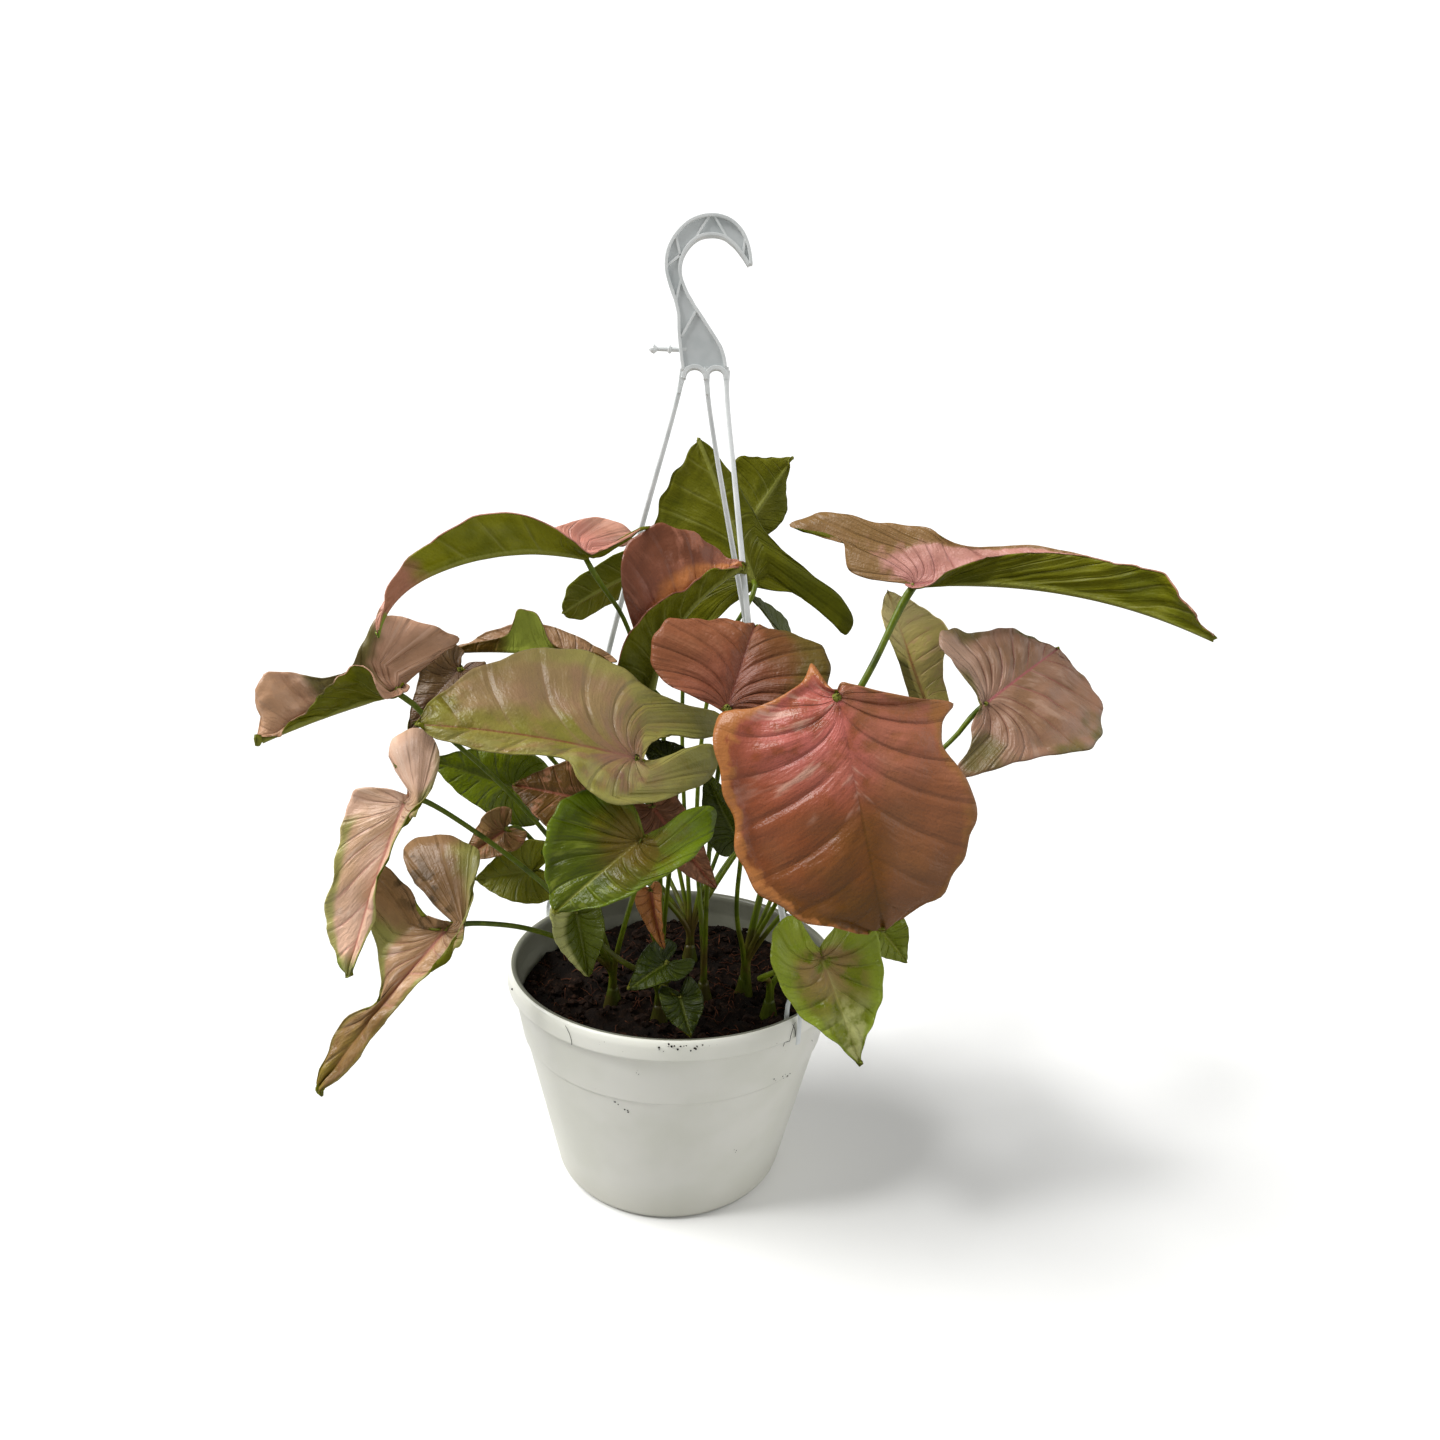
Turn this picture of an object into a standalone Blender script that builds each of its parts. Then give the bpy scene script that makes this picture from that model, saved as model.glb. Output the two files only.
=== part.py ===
"""Pink arrowhead plant in its white hanging pot: pot, soil, hanger, leaf stalks and leaf blades.

Lengths here are in millimetres and are turned into metres when a mesh is made. The origin is on the
floor under the middle of the pot, +Z is up and -Y looks to the front.
"""

import math

import bmesh
import bpy
import numpy as np
from mathutils import Vector
from mathutils.geometry import delaunay_2d_cdt

# Sizes that drive the model, in millimetres
GAP = 0.3
POT_HEIGHT = 128.0
RIM_RADIUS = 98.5
BASE_RADIUS = 66.0
STEP_Z = 87.0
LIP_HEIGHT = 12.0
WALL = 2.0
FLOOR = 3.0
SOIL_TOP = 107.0
BLADE = 0.9
STUB_RADIUS = 6.5
STUB_FOOT = 92.0
STUB_HEAD = 124.0

# Half a blade's edge from the notch round the lobe to the tip: across, then lobe or length shares
EDGE = (
    (0.0, -0.10), (0.16, -0.52), (0.34, -0.90), (0.58, -1.0), (0.83, -0.72), (0.97, -0.22),
    (1.0, 0.08), (0.95, 0.27), (0.80, 0.47), (0.56, 0.66), (0.28, 0.84), (0.0, 1.0),
)

# Blades whose edges are their own: each half as points across and along, notch to tip
FRONT = (
    ((0, -3), (3, -7), (8, -5), (19, 0), (36, 6), (53, 11), (45, 20), (43, 30), (48, 43), (52, 58),
     (47, 74), (39, 88), (27, 102), (0, 114)),
    ((0, -3), (4, -8), (9, -21), (14, -14), (24, -8), (43, -4), (57, -5), (62, 12), (61, 29), (59, 48),
     (60, 64), (54, 82), (36, 100), (0, 114)),
)
PALE = (
    ((0, -4), (-4, -13), (-13, -24), (-21, -37), (-12, -43), (1, -37), (10, -26), (22, -9), (28, 10),
     (20, 24), (11, 34), (12, 60), (8, 86), (0, 102)),
    ((0, -4), (13, -8), (20, -20), (26, -35), (38, -48), (44, -38), (40, -18), (42, -2), (50, 13),
     (57, 30), (55, 52), (45, 70), (24, 92), (0, 102)),
)
HEART = (
    ((0, -3), (2, -13), (3, -26), (8, -37), (15, -36), (21, -25), (24, -10), (21, 8), (15, 30), (0, 52)),
    ((0, -3), (14, -8), (25, -4), (34, 3), (37, 17), (30, 31), (20, 41), (12, 47), (6, 50), (0, 52)),
)
RIGHT_HEART = (
    ((0, -4), (8, -10), (20, -16), (30, -10), (30, 0), (27, 12), (21, 24), (11, 35), (4, 43), (0, 50)),
    ((0, -4), (2, -13), (4, -23), (12, -25), (21, -17), (25, -8), (25, 4), (21, 19), (11, 33), (0, 50)),
)
BLUSH = (
    ((0, -3), (9, 1), (23, 2), (39, 5), (46, 12), (45, 21), (36, 29), (31, 37), (26, 46), (18, 53),
     (9, 59), (0, 64)),
    ((0, -3), (4, -14), (12, -22), (17, -36), (25, -33), (31, -18), (41, 3), (51, 20), (52, 33),
     (46, 45), (32, 56), (0, 64)),
)
COPPER = (
    ((0, -2), (7, -1), (16, 0), (29, 2), (39, 8), (45, 18), (45, 30), (41, 41), (25, 47), (0, 62)),
    ((0, -2), (9, -2), (22, -6), (37, -8), (44, 4), (45, 20), (43, 36), (38, 48), (22, 57), (0, 62)),
)
CROWN = (
    ((0, -5), (10, -11), (23, -18), (35, -31), (40, -50), (47, -46), (48, -34), (43, -22), (30, 0),
     (19, 21), (14, 46), (11, 66), (5, 84), (0, 92)),
    ((0, -5), (18, -9), (34, -14), (46, -10), (53, 4), (55, 20), (54, 34), (50, 47), (44, 58), (36, 68),
     (26, 76), (16, 82), (6, 88), (0, 92)),
)
HUMP = (
    ((0, -4), (5, -6), (8, -2), (10, 8), (14, 22), (25, 36), (38, 50), (45, 64), (42, 80), (24, 95), (0, 105)),
    ((0, -4), (8, -8), (18, -6), (23, 2), (24, 14), (23, 28), (20, 46), (16, 62), (12, 76), (7, 90), (0, 105)),
)
ARCHED = (
    ((0, -4), (6, -10), (12, -17), (19, -25), (22, -30), (20, -18), (14, -5), (13, 10), (17, 28), (19, 48),
     (15, 68), (10, 88), (6, 104), (0, 118)),
    ((0, -4), (8, -14), (14, -24), (24, -28), (32, -20), (30, -8), (22, 4), (18, 16), (15, 32), (13, 50),
     (12, 70), (10, 90), (6, 104), (0, 118)),
)
SCARF = (
    ((0, -3), (4, -6), (8, -2), (13, 5), (19, 12), (23, 20), (23, 28), (18, 35), (10, 41), (5, 48), (4, 56),
     (3, 66), (0, 76)),
    ((0, -3), (6, -16), (12, -30), (18, -38), (26, -30), (37, -10), (34, 0), (24, 10), (16, 20), (19, 34),
     (27, 48), (26, 62), (0, 76)),
)
TAB = (
    ((0, -3), (3, -5), (4, 4), (4, 16), (8, 27), (23, 35), (24, 42), (21, 47), (10, 51), (6, 64), (0, 86)),
    ((0, -3), (5, -8), (10, -4), (13, 6), (16, 20), (18, 34), (17, 48), (15, 62), (12, 72), (7, 80), (0, 86)),
)
BANNER = (
    ((0, -3), (2, -14), (3, -27), (6, -38), (14, -42), (22, -46), (26, -56), (27, -70), (27, -84), (37, -76),
     (43, -60), (42, -42), (38, -24), (36, -8), (32, 6), (24, 18), (20, 32), (24, 50), (25, 72), (22, 100),
     (20, 130), (0, 172)),
    ((0, -3), (3, -5), (7, -3), (9, 2), (10, 8), (12, 15), (14, 22), (15, 30), (16, 40), (16, 52), (17, 64),
     (18, 76), (19, 88), (20, 100), (21, 112), (23, 122), (24, 132), (24, 142), (22, 152), (16, 160),
     (8, 167), (0, 172)),
)
SHIELD = (
    ((0, -3), (4, -8), (8, -8), (9, 0), (8, 12), (7, 24), (8, 36), (9, 46), (8, 54), (5, 60), (0, 66)),
    ((0, -3), (6, -10), (12, -8), (14, 0), (15, 10), (18, 20), (24, 28), (26, 35), (21, 44), (11, 56), (0, 66)),
)
PENNANT = (
    ((0, -3), (6, -6), (12, 0), (16, 10), (17, 18), (15, 27), (7, 37), (1, 48), (0, 53)),
    ((0, -3), (5, -8), (9, 2), (15, 10), (20, 17), (26, 26), (29, 34), (15, 43), (0, 53)),
)
SASH = (
    ((0, -5), (-9, -15), (-24, -19), (-27, -29), (-17, -37), (-4, -37), (7, -27), (10, -8), (6, 4), (5, 20),
     (6, 40), (6, 58), (4, 76), (0, 90)),
    ((0, -5), (8, -5), (16, -3), (26, 1), (28, 8), (26, 18), (23, 32), (19, 46), (21, 56), (22, 62),
     (19, 69), (13, 76), (6, 83), (0, 90)),
)
RIBBON = (
    ((0, -5), (-16, -8), (-37, -4), (-55, -9), (-56, -21), (-42, -33), (-24, -38), (-10, -30), (0, -14),
     (8, 2), (10, 18), (9, 38), (9, 62), (8, 82), (0, 101)),
    ((0, -5), (12, 0), (30, -1), (46, -2), (57, 3), (57, 10), (42, 17), (24, 26), (10, 36), (3, 48),
     (11, 62), (13, 73), (8, 82), (4, 92), (0, 101)),
)

TONGUE = (
    ((0, -3), (8, -10), (15, -6), (18, 8), (17, 24), (15, 38), (13, 50), (10, 58), (5, 62), (0, 64)),
    ((0, -3), (8, -10), (15, -6), (18, 8), (18, 24), (17, 38), (15, 50), (11, 58), (6, 62), (0, 64)),
)

PLAIN = {
    "arch": 20, "curl_tip": 0, "sway": 0, "twist": 0, "droop": 15, "fold": (12, 12, 12, 12), "curl": (0, 0),
    "lip": (0, 0), "wave": (2.0, 2.0, 0.0), "spread": (0.1, 0.1), "halves": None, "via": (), "thick": 1.3,
    "lead": 0.8, "taper": 0.0, "ears": None,
}


def leaf(name, colour, stalk, joint, tip, face, width, lobe, **more):
    """One leaf's row: where its stalk meets it, where its tip is, which way its upper face looks."""
    row = dict(PLAIN, name=name, colour=colour, stalk=stalk, joint=joint, tip=tip, face=face)
    row.update(width=width, lobe=lobe, **more)
    return row


LEAVES = [
    leaf("leaf_01", "A8604E", 1, (75, -95, 304), (101, -112, 199), (-0.1, -0.95, 0.2), (53, 62), (10, 21),
         halves=FRONT, arch=20, curl_tip=45, fold=(-10, -8, -10, -8), lip=(0, 50),
         wave=(3, 2, 0.5), lead=-1.0, via=((62, -24, 180), (76, -58, 250))),
    leaf("leaf_02", "7B4A35", 0, (25, -70, 292), (38, -42, 329), (-0.1, -0.9, 0.35), (46, 49), (22, 22),
         halves=COPPER, arch=10, curl_tip=90, fold=(5, 5, 5, 5), via=((18, -35, 215),)),
    leaf("leaf_03", "8E8A58", 2, (-18, -88, 270), (-119, -98, 284), (0.1, -0.6, 0.8), (28, 57), (42, 48),
         halves=PALE, arch=20, fold=(-5, -5, 5, 5), via=((-8, -45, 215),)),
    leaf("leaf_04", "4C6B16", 3, (-14, -100, 233), (-51, -116, 202), (0.1, -0.8, 0.6), (24, 37), (37, 10),
         halves=HEART, arch=15, via=((-20, -66, 190),)),
    leaf("leaf_05", "55701E", 5, (-50, -60, 178), (-43, -64, 143), (0.3, -0.9, 0.3), (14, 16), (8, 8),
         fold=(25, 25, 25, 25), via=((-36, -50, 150),)),
    leaf("leaf_06", "9A6450", 5, (-12, -50, 188), (-4, -54, 156), (-0.2, -0.9, 0.2), (8, 9), (4, 4),
         fold=(30, 30, 30, 30), via=((-8, -42, 160),)),
    leaf("leaf_07", "2F4A12", 5, (-2, -54, 148), (-21, -66, 138), (0.0, -0.6, 0.8), (13, 13), (12, 12),
         via=((-2, -46, 132),)),
    leaf("leaf_08", "38561A", 5, (6, -64, 134), (13, -78, 119), (0.1, -0.7, 0.7), (12, 12), (8, 8),
         via=((2, -54, 126),)),
    leaf("leaf_09", "5E8426", 4, (77, -88, 171), (97, -104, 124), (-0.1, -0.75, 0.6), (30, 25), (16, 25),
         halves=RIGHT_HEART, via=((46, -54, 140), (58, -80, 160))),
    leaf("leaf_10", "55781E", 4, (112, -45, 170), (128, -50, 152), (0.0, -0.7, 0.7), (14, 14), (8, 8),
         via=((85, -34, 150),)),
    leaf("leaf_11", "B08E78", 1, (162, -32, 293), (210, 0, 321), (0.15, -0.75, 0.6), (46, 52), (10, 36),
         halves=BLUSH, arch=20, fold=(-5, -5, 5, 5), via=((110, -32, 235), (147, -35, 274))),
    leaf("leaf_12", "96A060", 1, (143, 24, 284), (115, 20, 348), (-0.1, -0.9, 0.3), (14, 26), (8, 10),
         halves=SHIELD, fold=(10, 10, 5, 10), arch=-10, via=((80, 10, 220),)),
    leaf("leaf_13", "9A6A5C", 1, (127, 5, 353), (246, -90, 337), (0.0, 0.1, 1.0), (45, 24), (84, 5),
         halves=BANNER, arch=30, sway=-36, fold=(72, 60, -20, 62), droop=-26, thick=2.0,
         via=((60, -8, 225), (99, -20, 298))),
    leaf("leaf_14", "3E5610", 0, (38, 42, 350), (2, 52, 431), (0.0, 1.0, 0.1), (48, 55), (50, 14),
         halves=CROWN, arch=-5, via=((8, 10, 210), (14, 34, 300))),
    leaf("leaf_15", "5E6E14", 6, (34, 66, 382), (60, 72, 424), (0.0, 1.0, 0.1), (17, 29), (6, 8),
         halves=PENNANT, via=((36, 50, 260),)),
    leaf("leaf_16", "8A5A3C", 2, (-16, -30, 293), (31, -24, 359), (-0.5, -0.15, 0.85), (45, 24), (6, 8),
         halves=HUMP, arch=55, fold=(66, 76, 72, 60), via=((-12, -16, 225),)),
    leaf("leaf_17", "8A6A48", 2, (-52, -28, 362), (-142, -80, 322), (0.0, 0.2, 1.0), (27, 32), (42, 28),
         halves=ARCHED, arch=54, curl_tip=35, fold=(5, 62, 60, 20), ears=(60, 60), droop=0,
         via=((-14, 8, 250), (-30, 4, 322))),
    leaf("leaf_18", "A88878", 3, (-142, -58, 292), (-195, -92, 271), (0.0, -0.1, 1.0), (23, 38), (6, 36),
         halves=SCARF, arch=10, fold=(-10, 66, 75, 62), ears=(-10, 70), droop=0,
         via=((-50, -34, 185), (-88, -40, 236), (-130, -52, 278))),
    leaf("leaf_19", "6E4A38", 2, (-47, -2, 302), (-133, -4, 305), (0.0, 0.1, 1.0), (24, 22), (6, 8),
         halves=TAB, arch=20, fold=(60, 70, 50, 55), via=((-28, 6, 235),)),
    leaf("leaf_20", "B09080", 3, (-133, -78, 239), (-157, -95, 154), (-0.3, -0.9, 0.3), (18, 28), (35, 10),
         halves=SASH, arch=15, via=((-62, -58, 190),)),
    leaf("leaf_21", "B09480", 3, (-110, -88, 178), (-170, -105, 98), (-0.3, -0.85, 0.4), (12, 58), (38, 10),
         halves=RIBBON, arch=15, via=((-70, -56, 166),)),
    leaf("leaf_22", "3C5410", 6, (-95, -2, 227), (-141, -14, 245), (0.1, -0.8, 0.5), (22, 22), (18, 18),
         via=((-45, 16, 190),)),
    leaf("leaf_23", "5A3A28", 2, (-42, -46, 234), (-88, -40, 240), (0.0, -0.85, 0.5), (24, 22), (14, 14),
         via=((-22, -30, 190),)),
    leaf("leaf_24", "6A4634", 3, (-93, -34, 213), (-115, -38, 196), (0.0, -0.85, 0.5), (13, 13), (8, 8),
         via=((-62, -26, 180),)),
    leaf("leaf_25", "33501A", 3, (-78, -32, 189), (-109, -40, 185), (0.1, -0.85, 0.5), (19, 17), (12, 12),
         via=((-56, -30, 158),)),
    leaf("leaf_26", "3A520E", 6, (-10, 72, 362), (-78, 50, 325), (0.0, 0.8, 0.5), (18, 18), (10, 10),
         halves=TONGUE, arch=30, via=((-4, 50, 260),)),
    leaf("leaf_27", "3A520E", 6, (64, 94, 304), (37, 68, 339), (0.1, -0.5, 0.8), (17, 19), (14, 14),
         via=((40, 62, 220),)),
    leaf("leaf_28", "B08A78", 6, (-34, 92, 282), (-68, 158, 250), (-0.2, 0.5, 0.8), (32, 32), (28, 28),
         via=((-14, 60, 210),)),
    leaf("leaf_29", "4C6B16", 6, (92, 66, 246), (142, 112, 222), (0.4, 0.2, 0.8), (28, 28), (22, 22),
         via=((44, 48, 190),)),
    leaf("leaf_30", "8E8A58", 6, (-92, 62, 236), (-142, 96, 210), (-0.4, 0.2, 0.8), (27, 27), (22, 22),
         via=((-40, 48, 185),)),
    leaf("leaf_31", "3C5410", 6, (-40, 98, 198), (-66, 146, 164), (-0.2, 0.4, 0.8), (24, 24), (18, 18),
         via=((-14, 66, 160),)),
    leaf("leaf_32", "9A6450", 6, (66, 92, 206), (98, 142, 176), (0.3, 0.4, 0.8), (24, 24), (18, 18),
         via=((28, 66, 160),)),
    leaf("leaf_33", "8A5E50", 2, (-118, -30, 300), (-141, -44, 268), (-0.2, -0.8, 0.5), (17, 17), (10, 10),
         fold=(15, 15, 15, 15), via=((-48, -12, 232), (-92, -18, 282))),
    leaf("leaf_34", "3E5E1A", 1, (33, -56, 220), (15, -60, 257), (-0.3, -0.9, 0.3), (14, 15), (6, 6),
         via=((34, -26, 165),)),
    leaf("leaf_35", "6E4A38", 2, (-10, -78, 243), (23, -62, 195), (-0.1, -0.95, 0.3), (13, 14), (8, 8),
         via=((-8, -26, 180), (-10, -50, 222))),
    leaf("leaf_36", "2F4A12", 2, (-1, -56, 260), (-19, -58, 272), (0.0, -0.9, 0.4), (10, 9), (6, 6),
         via=((-2, -26, 210),)),
]

# Where each stalk's bundle stands in the soil
STUBS = ((18, -16), (42, -8), (-8, -6), (-34, -26), (56, -34), (-6, -44), (8, 32))

MADE = []


def clear_scene():
    """Start from an empty scene."""
    for item in list(bpy.data.objects):
        bpy.data.objects.remove(item, do_unlink=True)


def srgb(text):
    """A hex colour as linear values."""
    out = []
    for i in (0, 2, 4):
        c = int(text[i:i + 2], 16) / 255.0
        out.append(c / 12.92 if c <= 0.04045 else ((c + 0.055) / 1.055) ** 2.4)
    return (out[0], out[1], out[2], 1.0)


def material(name, colour, roughness):
    """A plain surface of one colour."""
    mat = bpy.data.materials.new(name)
    mat.use_nodes = True
    shader = mat.node_tree.nodes["Principled BSDF"]
    shader.inputs["Base Color"].default_value = srgb(colour)
    shader.inputs["Roughness"].default_value = roughness
    shader.inputs["Metallic"].default_value = 0.0
    return mat


def finish(bm, name, colour, roughness, smooth=True):
    """Turn a mesh in millimetres into a named object in metres."""
    bmesh.ops.scale(bm, vec=(0.001, 0.001, 0.001), verts=bm.verts)
    mesh = bpy.data.meshes.new(name)
    for face in bm.faces:
        face.smooth = smooth
    bm.to_mesh(mesh)
    bm.free()
    obj = bpy.data.objects.new(name, mesh)
    bpy.context.scene.collection.objects.link(obj)
    obj.data.materials.append(material(name, colour, roughness))
    MADE.append(obj)
    return obj


def apply_boolean(target, others, operation):
    """Join the others into the target, or cut them from it, and remove them."""
    group = bpy.data.collections.new("helpers")
    bpy.context.scene.collection.children.link(group)
    for other in others:
        for holder in list(other.users_collection):
            holder.objects.unlink(other)
        group.objects.link(other)
    mod = target.modifiers.new("join", "BOOLEAN")
    mod.operation = operation
    mod.operand_type = "COLLECTION"
    mod.collection = group
    mod.solver = "EXACT"
    bpy.context.view_layer.update()
    graph = bpy.context.evaluated_depsgraph_get()
    mesh = bpy.data.meshes.new_from_object(target.evaluated_get(graph))
    target.modifiers.remove(mod)
    old = target.data
    target.data = mesh
    bpy.data.meshes.remove(old)
    for other in others:
        if other in MADE:
            MADE.remove(other)
        bpy.data.objects.remove(other, do_unlink=True)
    bpy.data.collections.remove(group)


def unit(vector):
    """The vector at length one."""
    vector = np.asarray(vector, float)
    return vector / np.linalg.norm(vector)


def turned(vector, axis, angle):
    """A vector turned about a unit axis."""
    c = math.cos(angle)
    s = math.sin(angle)
    return vector * c + np.cross(axis, vector) * s + axis * np.dot(axis, vector) * (1 - c)


def blend(values, t):
    """A smooth curve through the values, with t from 0 to 1 along them."""
    values = np.asarray(values, float)
    last = len(values) - 1
    u = np.clip(np.asarray(t, float), 0, 1) * last
    i = np.minimum(u.astype(int), last - 1)
    f = u - i
    p0 = values[np.maximum(i - 1, 0)]
    p1 = values[i]
    p2 = values[i + 1]
    p3 = values[np.minimum(i + 2, last)]
    if values.ndim > 1:
        f = f[..., None]
    return 0.5 * (2 * p1 + (p2 - p0) * f + (2 * p0 - 5 * p1 + 4 * p2 - p3) * f ** 2
                  + (3 * p1 - 3 * p2 + p3 - p0) * f ** 3)


def spine(row):
    """The midrib as a bent line: its length, and a frame at steps behind and before the joint."""
    steps = 48
    rates = [math.radians(row[k]) / steps for k in ("arch", "sway", "twist")]
    point = np.zeros(3)
    along = np.array([0.0, 1.0, 0.0])
    up = np.array([0.0, 0.0, 1.0])
    fore = [(0.0, point, along, up)]
    for k in range(steps):
        late = max(0.0, (k + 0.5) / steps - 0.6) * 12.5
        side = np.cross(along, up)
        bend = -(rates[0] + math.radians(row["curl_tip"]) * late / steps)
        along = turned(along, side, bend)
        up = turned(up, side, bend)
        along = turned(along, up, rates[1])
        up = turned(up, along, rates[2])
        point = point + along / steps
        fore.append(((k + 1) / steps, point, along, up))
    chord = fore[-1][1]
    gap = np.asarray(row["tip"], float) - np.asarray(row["joint"], float)
    length = np.linalg.norm(gap) / np.linalg.norm(chord)
    low1 = unit(chord)
    low2 = unit(fore[steps // 2][3] - low1 * np.dot(fore[steps // 2][3], low1))
    high1 = unit(gap)
    face = np.asarray(row["face"], float)
    high2 = unit(face - high1 * np.dot(face, high1))
    low = np.stack([low1, low2, np.cross(low1, low2)])
    high = np.stack([high1, high2, np.cross(high1, high2)])
    spin = high.T @ low
    back = []
    reach = max(row["lobe"]) * 1.1 + 5
    point = np.zeros(3)
    along = np.array([0.0, 1.0, 0.0])
    up = np.array([0.0, 0.0, 1.0])
    side = np.cross(along, up)
    for k in range(12):
        along = turned(along, side, math.radians(row["droop"]) / 12)
        up = turned(up, side, math.radians(row["droop"]) / 12)
        point = point - along * reach / 12
        back.append((-(k + 1) * reach / 12, point, along, up))
    line = back[::-1] + [(t * length, p * length, a, u) for t, p, a, u in fore]
    table = [np.array([item[0] for item in line])]
    for j in (1, 2, 3):
        table.append(np.array([spin @ item[j] for item in line]))
    return length, table


def half_edge(row, k, length):
    """The edge of one half as points across and along, from the notch to the tip."""
    if row["halves"]:
        edge = np.array(row["halves"][k], float)
        edge[:, 1] = np.where(edge[:, 1] > 0, edge[:, 1] * length / edge[-1, 1], edge[:, 1])
        return edge
    edge = []
    for across, share in EDGE:
        along = share * (row["lobe"][k] if share < 0 else length)
        out = across * row["width"][k] * (1 - row["taper"] * max(0.0, share))
        if share < 0:
            out += row["spread"][k] * row["lobe"][k] * -share * min(1.0, across * 3)
        edge.append((out, along))
    return np.array(edge)


def feet(row, length):
    """Where along the midrib the lines to the edge start, alike for both halves."""
    t = np.linspace(0, 1, 49)
    both = []
    for k in (0, 1):
        rim = blend(half_edge(row, k, length), t)
        both.append(rim[:, 1] - 0.45 * rim[:, 0])
    root = np.maximum.accumulate(np.clip((both[0] + both[1]) / 2, 0, None))
    root = np.minimum(root, length * (0.2 + 0.8 * t))
    root[-1] = length
    return t, root


def relaxed(row, k, length):
    """One half laid flat as a grid, first round its edge and then outward, evened out so none overlaps."""
    edge = half_edge(row, k, length)
    steps = np.linspace(0, 1, 4 * (len(edge) - 1) + 1)
    foot = np.interp(steps, *feet(row, length))
    foot = np.stack([np.zeros_like(foot), foot], 1)
    share = np.linspace(0, 1, 13)[None, :, None]
    grid = foot[:, None] * (1 - share) + blend(edge, steps)[:, None] * share
    for turn in range(1600):
        fore = (grid[2:, 1:-1] - grid[:-2, 1:-1]) / 2
        side = (grid[1:-1, 2:] - grid[1:-1, :-2]) / 2
        one = np.ones(fore.shape[:2] + (1,))
        two = one
        both = 0 * one
        if turn > 200:
            one = (side ** 2).sum(2, keepdims=True) + 1e-4
            two = (fore ** 2).sum(2, keepdims=True) + 1e-4
            both = (fore * side).sum(2, keepdims=True)
        cross = grid[2:, 2:] - grid[:-2, 2:] - grid[2:, :-2] + grid[:-2, :-2]
        want = one * (grid[2:, 1:-1] + grid[:-2, 1:-1]) + two * (grid[1:-1, 2:] + grid[1:-1, :-2])
        want = (want - 0.5 * both * cross) / (2 * (one + two))
        grid[1:-1, 1:-1] += 0.7 * (want - grid[1:-1, 1:-1])
    return grid


def flat_places(grid, a, v):
    """Points across and along at shares of the way round the edge and outward on a flat grid."""
    u = np.clip(a, 0, 1) * (grid.shape[0] - 1)
    w = np.clip(v, 0, 1) * (grid.shape[1] - 1)
    i = np.minimum(u.astype(int), grid.shape[0] - 2)
    j = np.minimum(w.astype(int), grid.shape[1] - 2)
    u = (u - i)[:, None]
    w = (w - j)[:, None]
    near = grid[i, j] * (1 - w) + grid[i, j + 1] * w
    far = grid[i + 1, j] * (1 - w) + grid[i + 1, j + 1] * w
    both = near * (1 - u) + far * u
    return both[:, 0], both[:, 1]


def blade_points(row, side, a, v, across, along):
    """Flat places of one half set in space: a runs round the edge, v from the midrib outward."""
    length, table = spine(row)
    k = 0 if side < 0 else 1
    share = np.clip(across / row["width"][k], 0, 1.2)
    low, high = row["fold"][2 * k:2 * k + 2]
    fold = low + (high - low) * np.clip(along / length * 4, 0, 1)
    if row["ears"]:
        fold += (row["ears"][k] - low) * np.clip(-along / row["lobe"][k] * 1.6, 0, 1)
    fold *= 1 - 0.6 * np.clip((along / length - 0.82) / 0.15, 0, 1)
    out = np.zeros_like(across)
    rise = np.zeros_like(across)
    for j in range(16):
        u = share * (j + 0.5) / 16
        angle = np.radians(fold + row["curl"][k] * u + row["lip"][k] * np.clip((u - 0.8) / 0.2, 0, 1))
        out += np.cos(angle) * across / 16
        rise += np.sin(angle) * across / 16
    tall, count, start = row["wave"]
    fade = np.clip(np.sin(np.pi * a), 0, 1) ** 0.5
    rise += tall * v ** 2 * fade * np.sin(2 * np.pi * count * a + start + side * 1.1)
    place = [np.stack([np.interp(along, table[0], table[j][:, i]) for i in range(3)], 1) for j in (1, 2, 3)]
    lateral = np.cross(place[1], place[2])
    points = place[0] + lateral * (side * out)[:, None] + place[2] * rise[:, None]
    return points + np.asarray(row["joint"], float)


def half_sheet(bm, row, side, rows, columns):
    """One half of a blade: its flat places are split into triangles inside its outline, then set in space."""
    a, v = np.meshgrid(np.linspace(0, 1, rows + 1), np.linspace(0, 1, columns + 1), indexing="ij")
    grid = relaxed(row, 0 if side < 0 else 1, spine(row)[0])
    across, along = flat_places(grid, a.ravel(), v.ravel())
    points = blade_points(row, side, a.ravel(), v.ravel(), across, along)
    spots = {}
    number = []
    for i in range(len(across)):
        number.append(spots.setdefault((round(across[i], 2), round(along[i], 2)), len(spots)))
    number = np.array(number).reshape(a.shape)
    loop = list(number[:, 0]) + list(number[-1, :]) + list(number[::-1, -1]) + list(number[0, ::-1])
    edges = {(int(p), int(q)) for p, q in zip(loop, loop[1:]) if p != q}
    made = delaunay_2d_cdt([Vector(spot) for spot in spots], list(edges), [], 1, 0.001)
    places = {}
    for i, place in zip(number.ravel(), points):
        places.setdefault(int(i), place)
    verts = {}
    for face in made[2]:
        corners = []
        for corner in face:
            if corner not in verts:
                verts[corner] = bm.verts.new(places[made[3][corner][0]])
            corners.append(verts[corner])
        bm.faces.new(corners if side > 0 else corners[::-1])


def blade_mesh(row, rows, columns):
    """Both halves of a blade as one thin sheet of triangles, as points in millimetres."""
    bm = bmesh.new()
    for side in (-1, 1):
        half_sheet(bm, row, side, rows, columns)
    bmesh.ops.remove_doubles(bm, verts=bm.verts, dist=0.05)
    bm.normal_update()
    return bm


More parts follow.
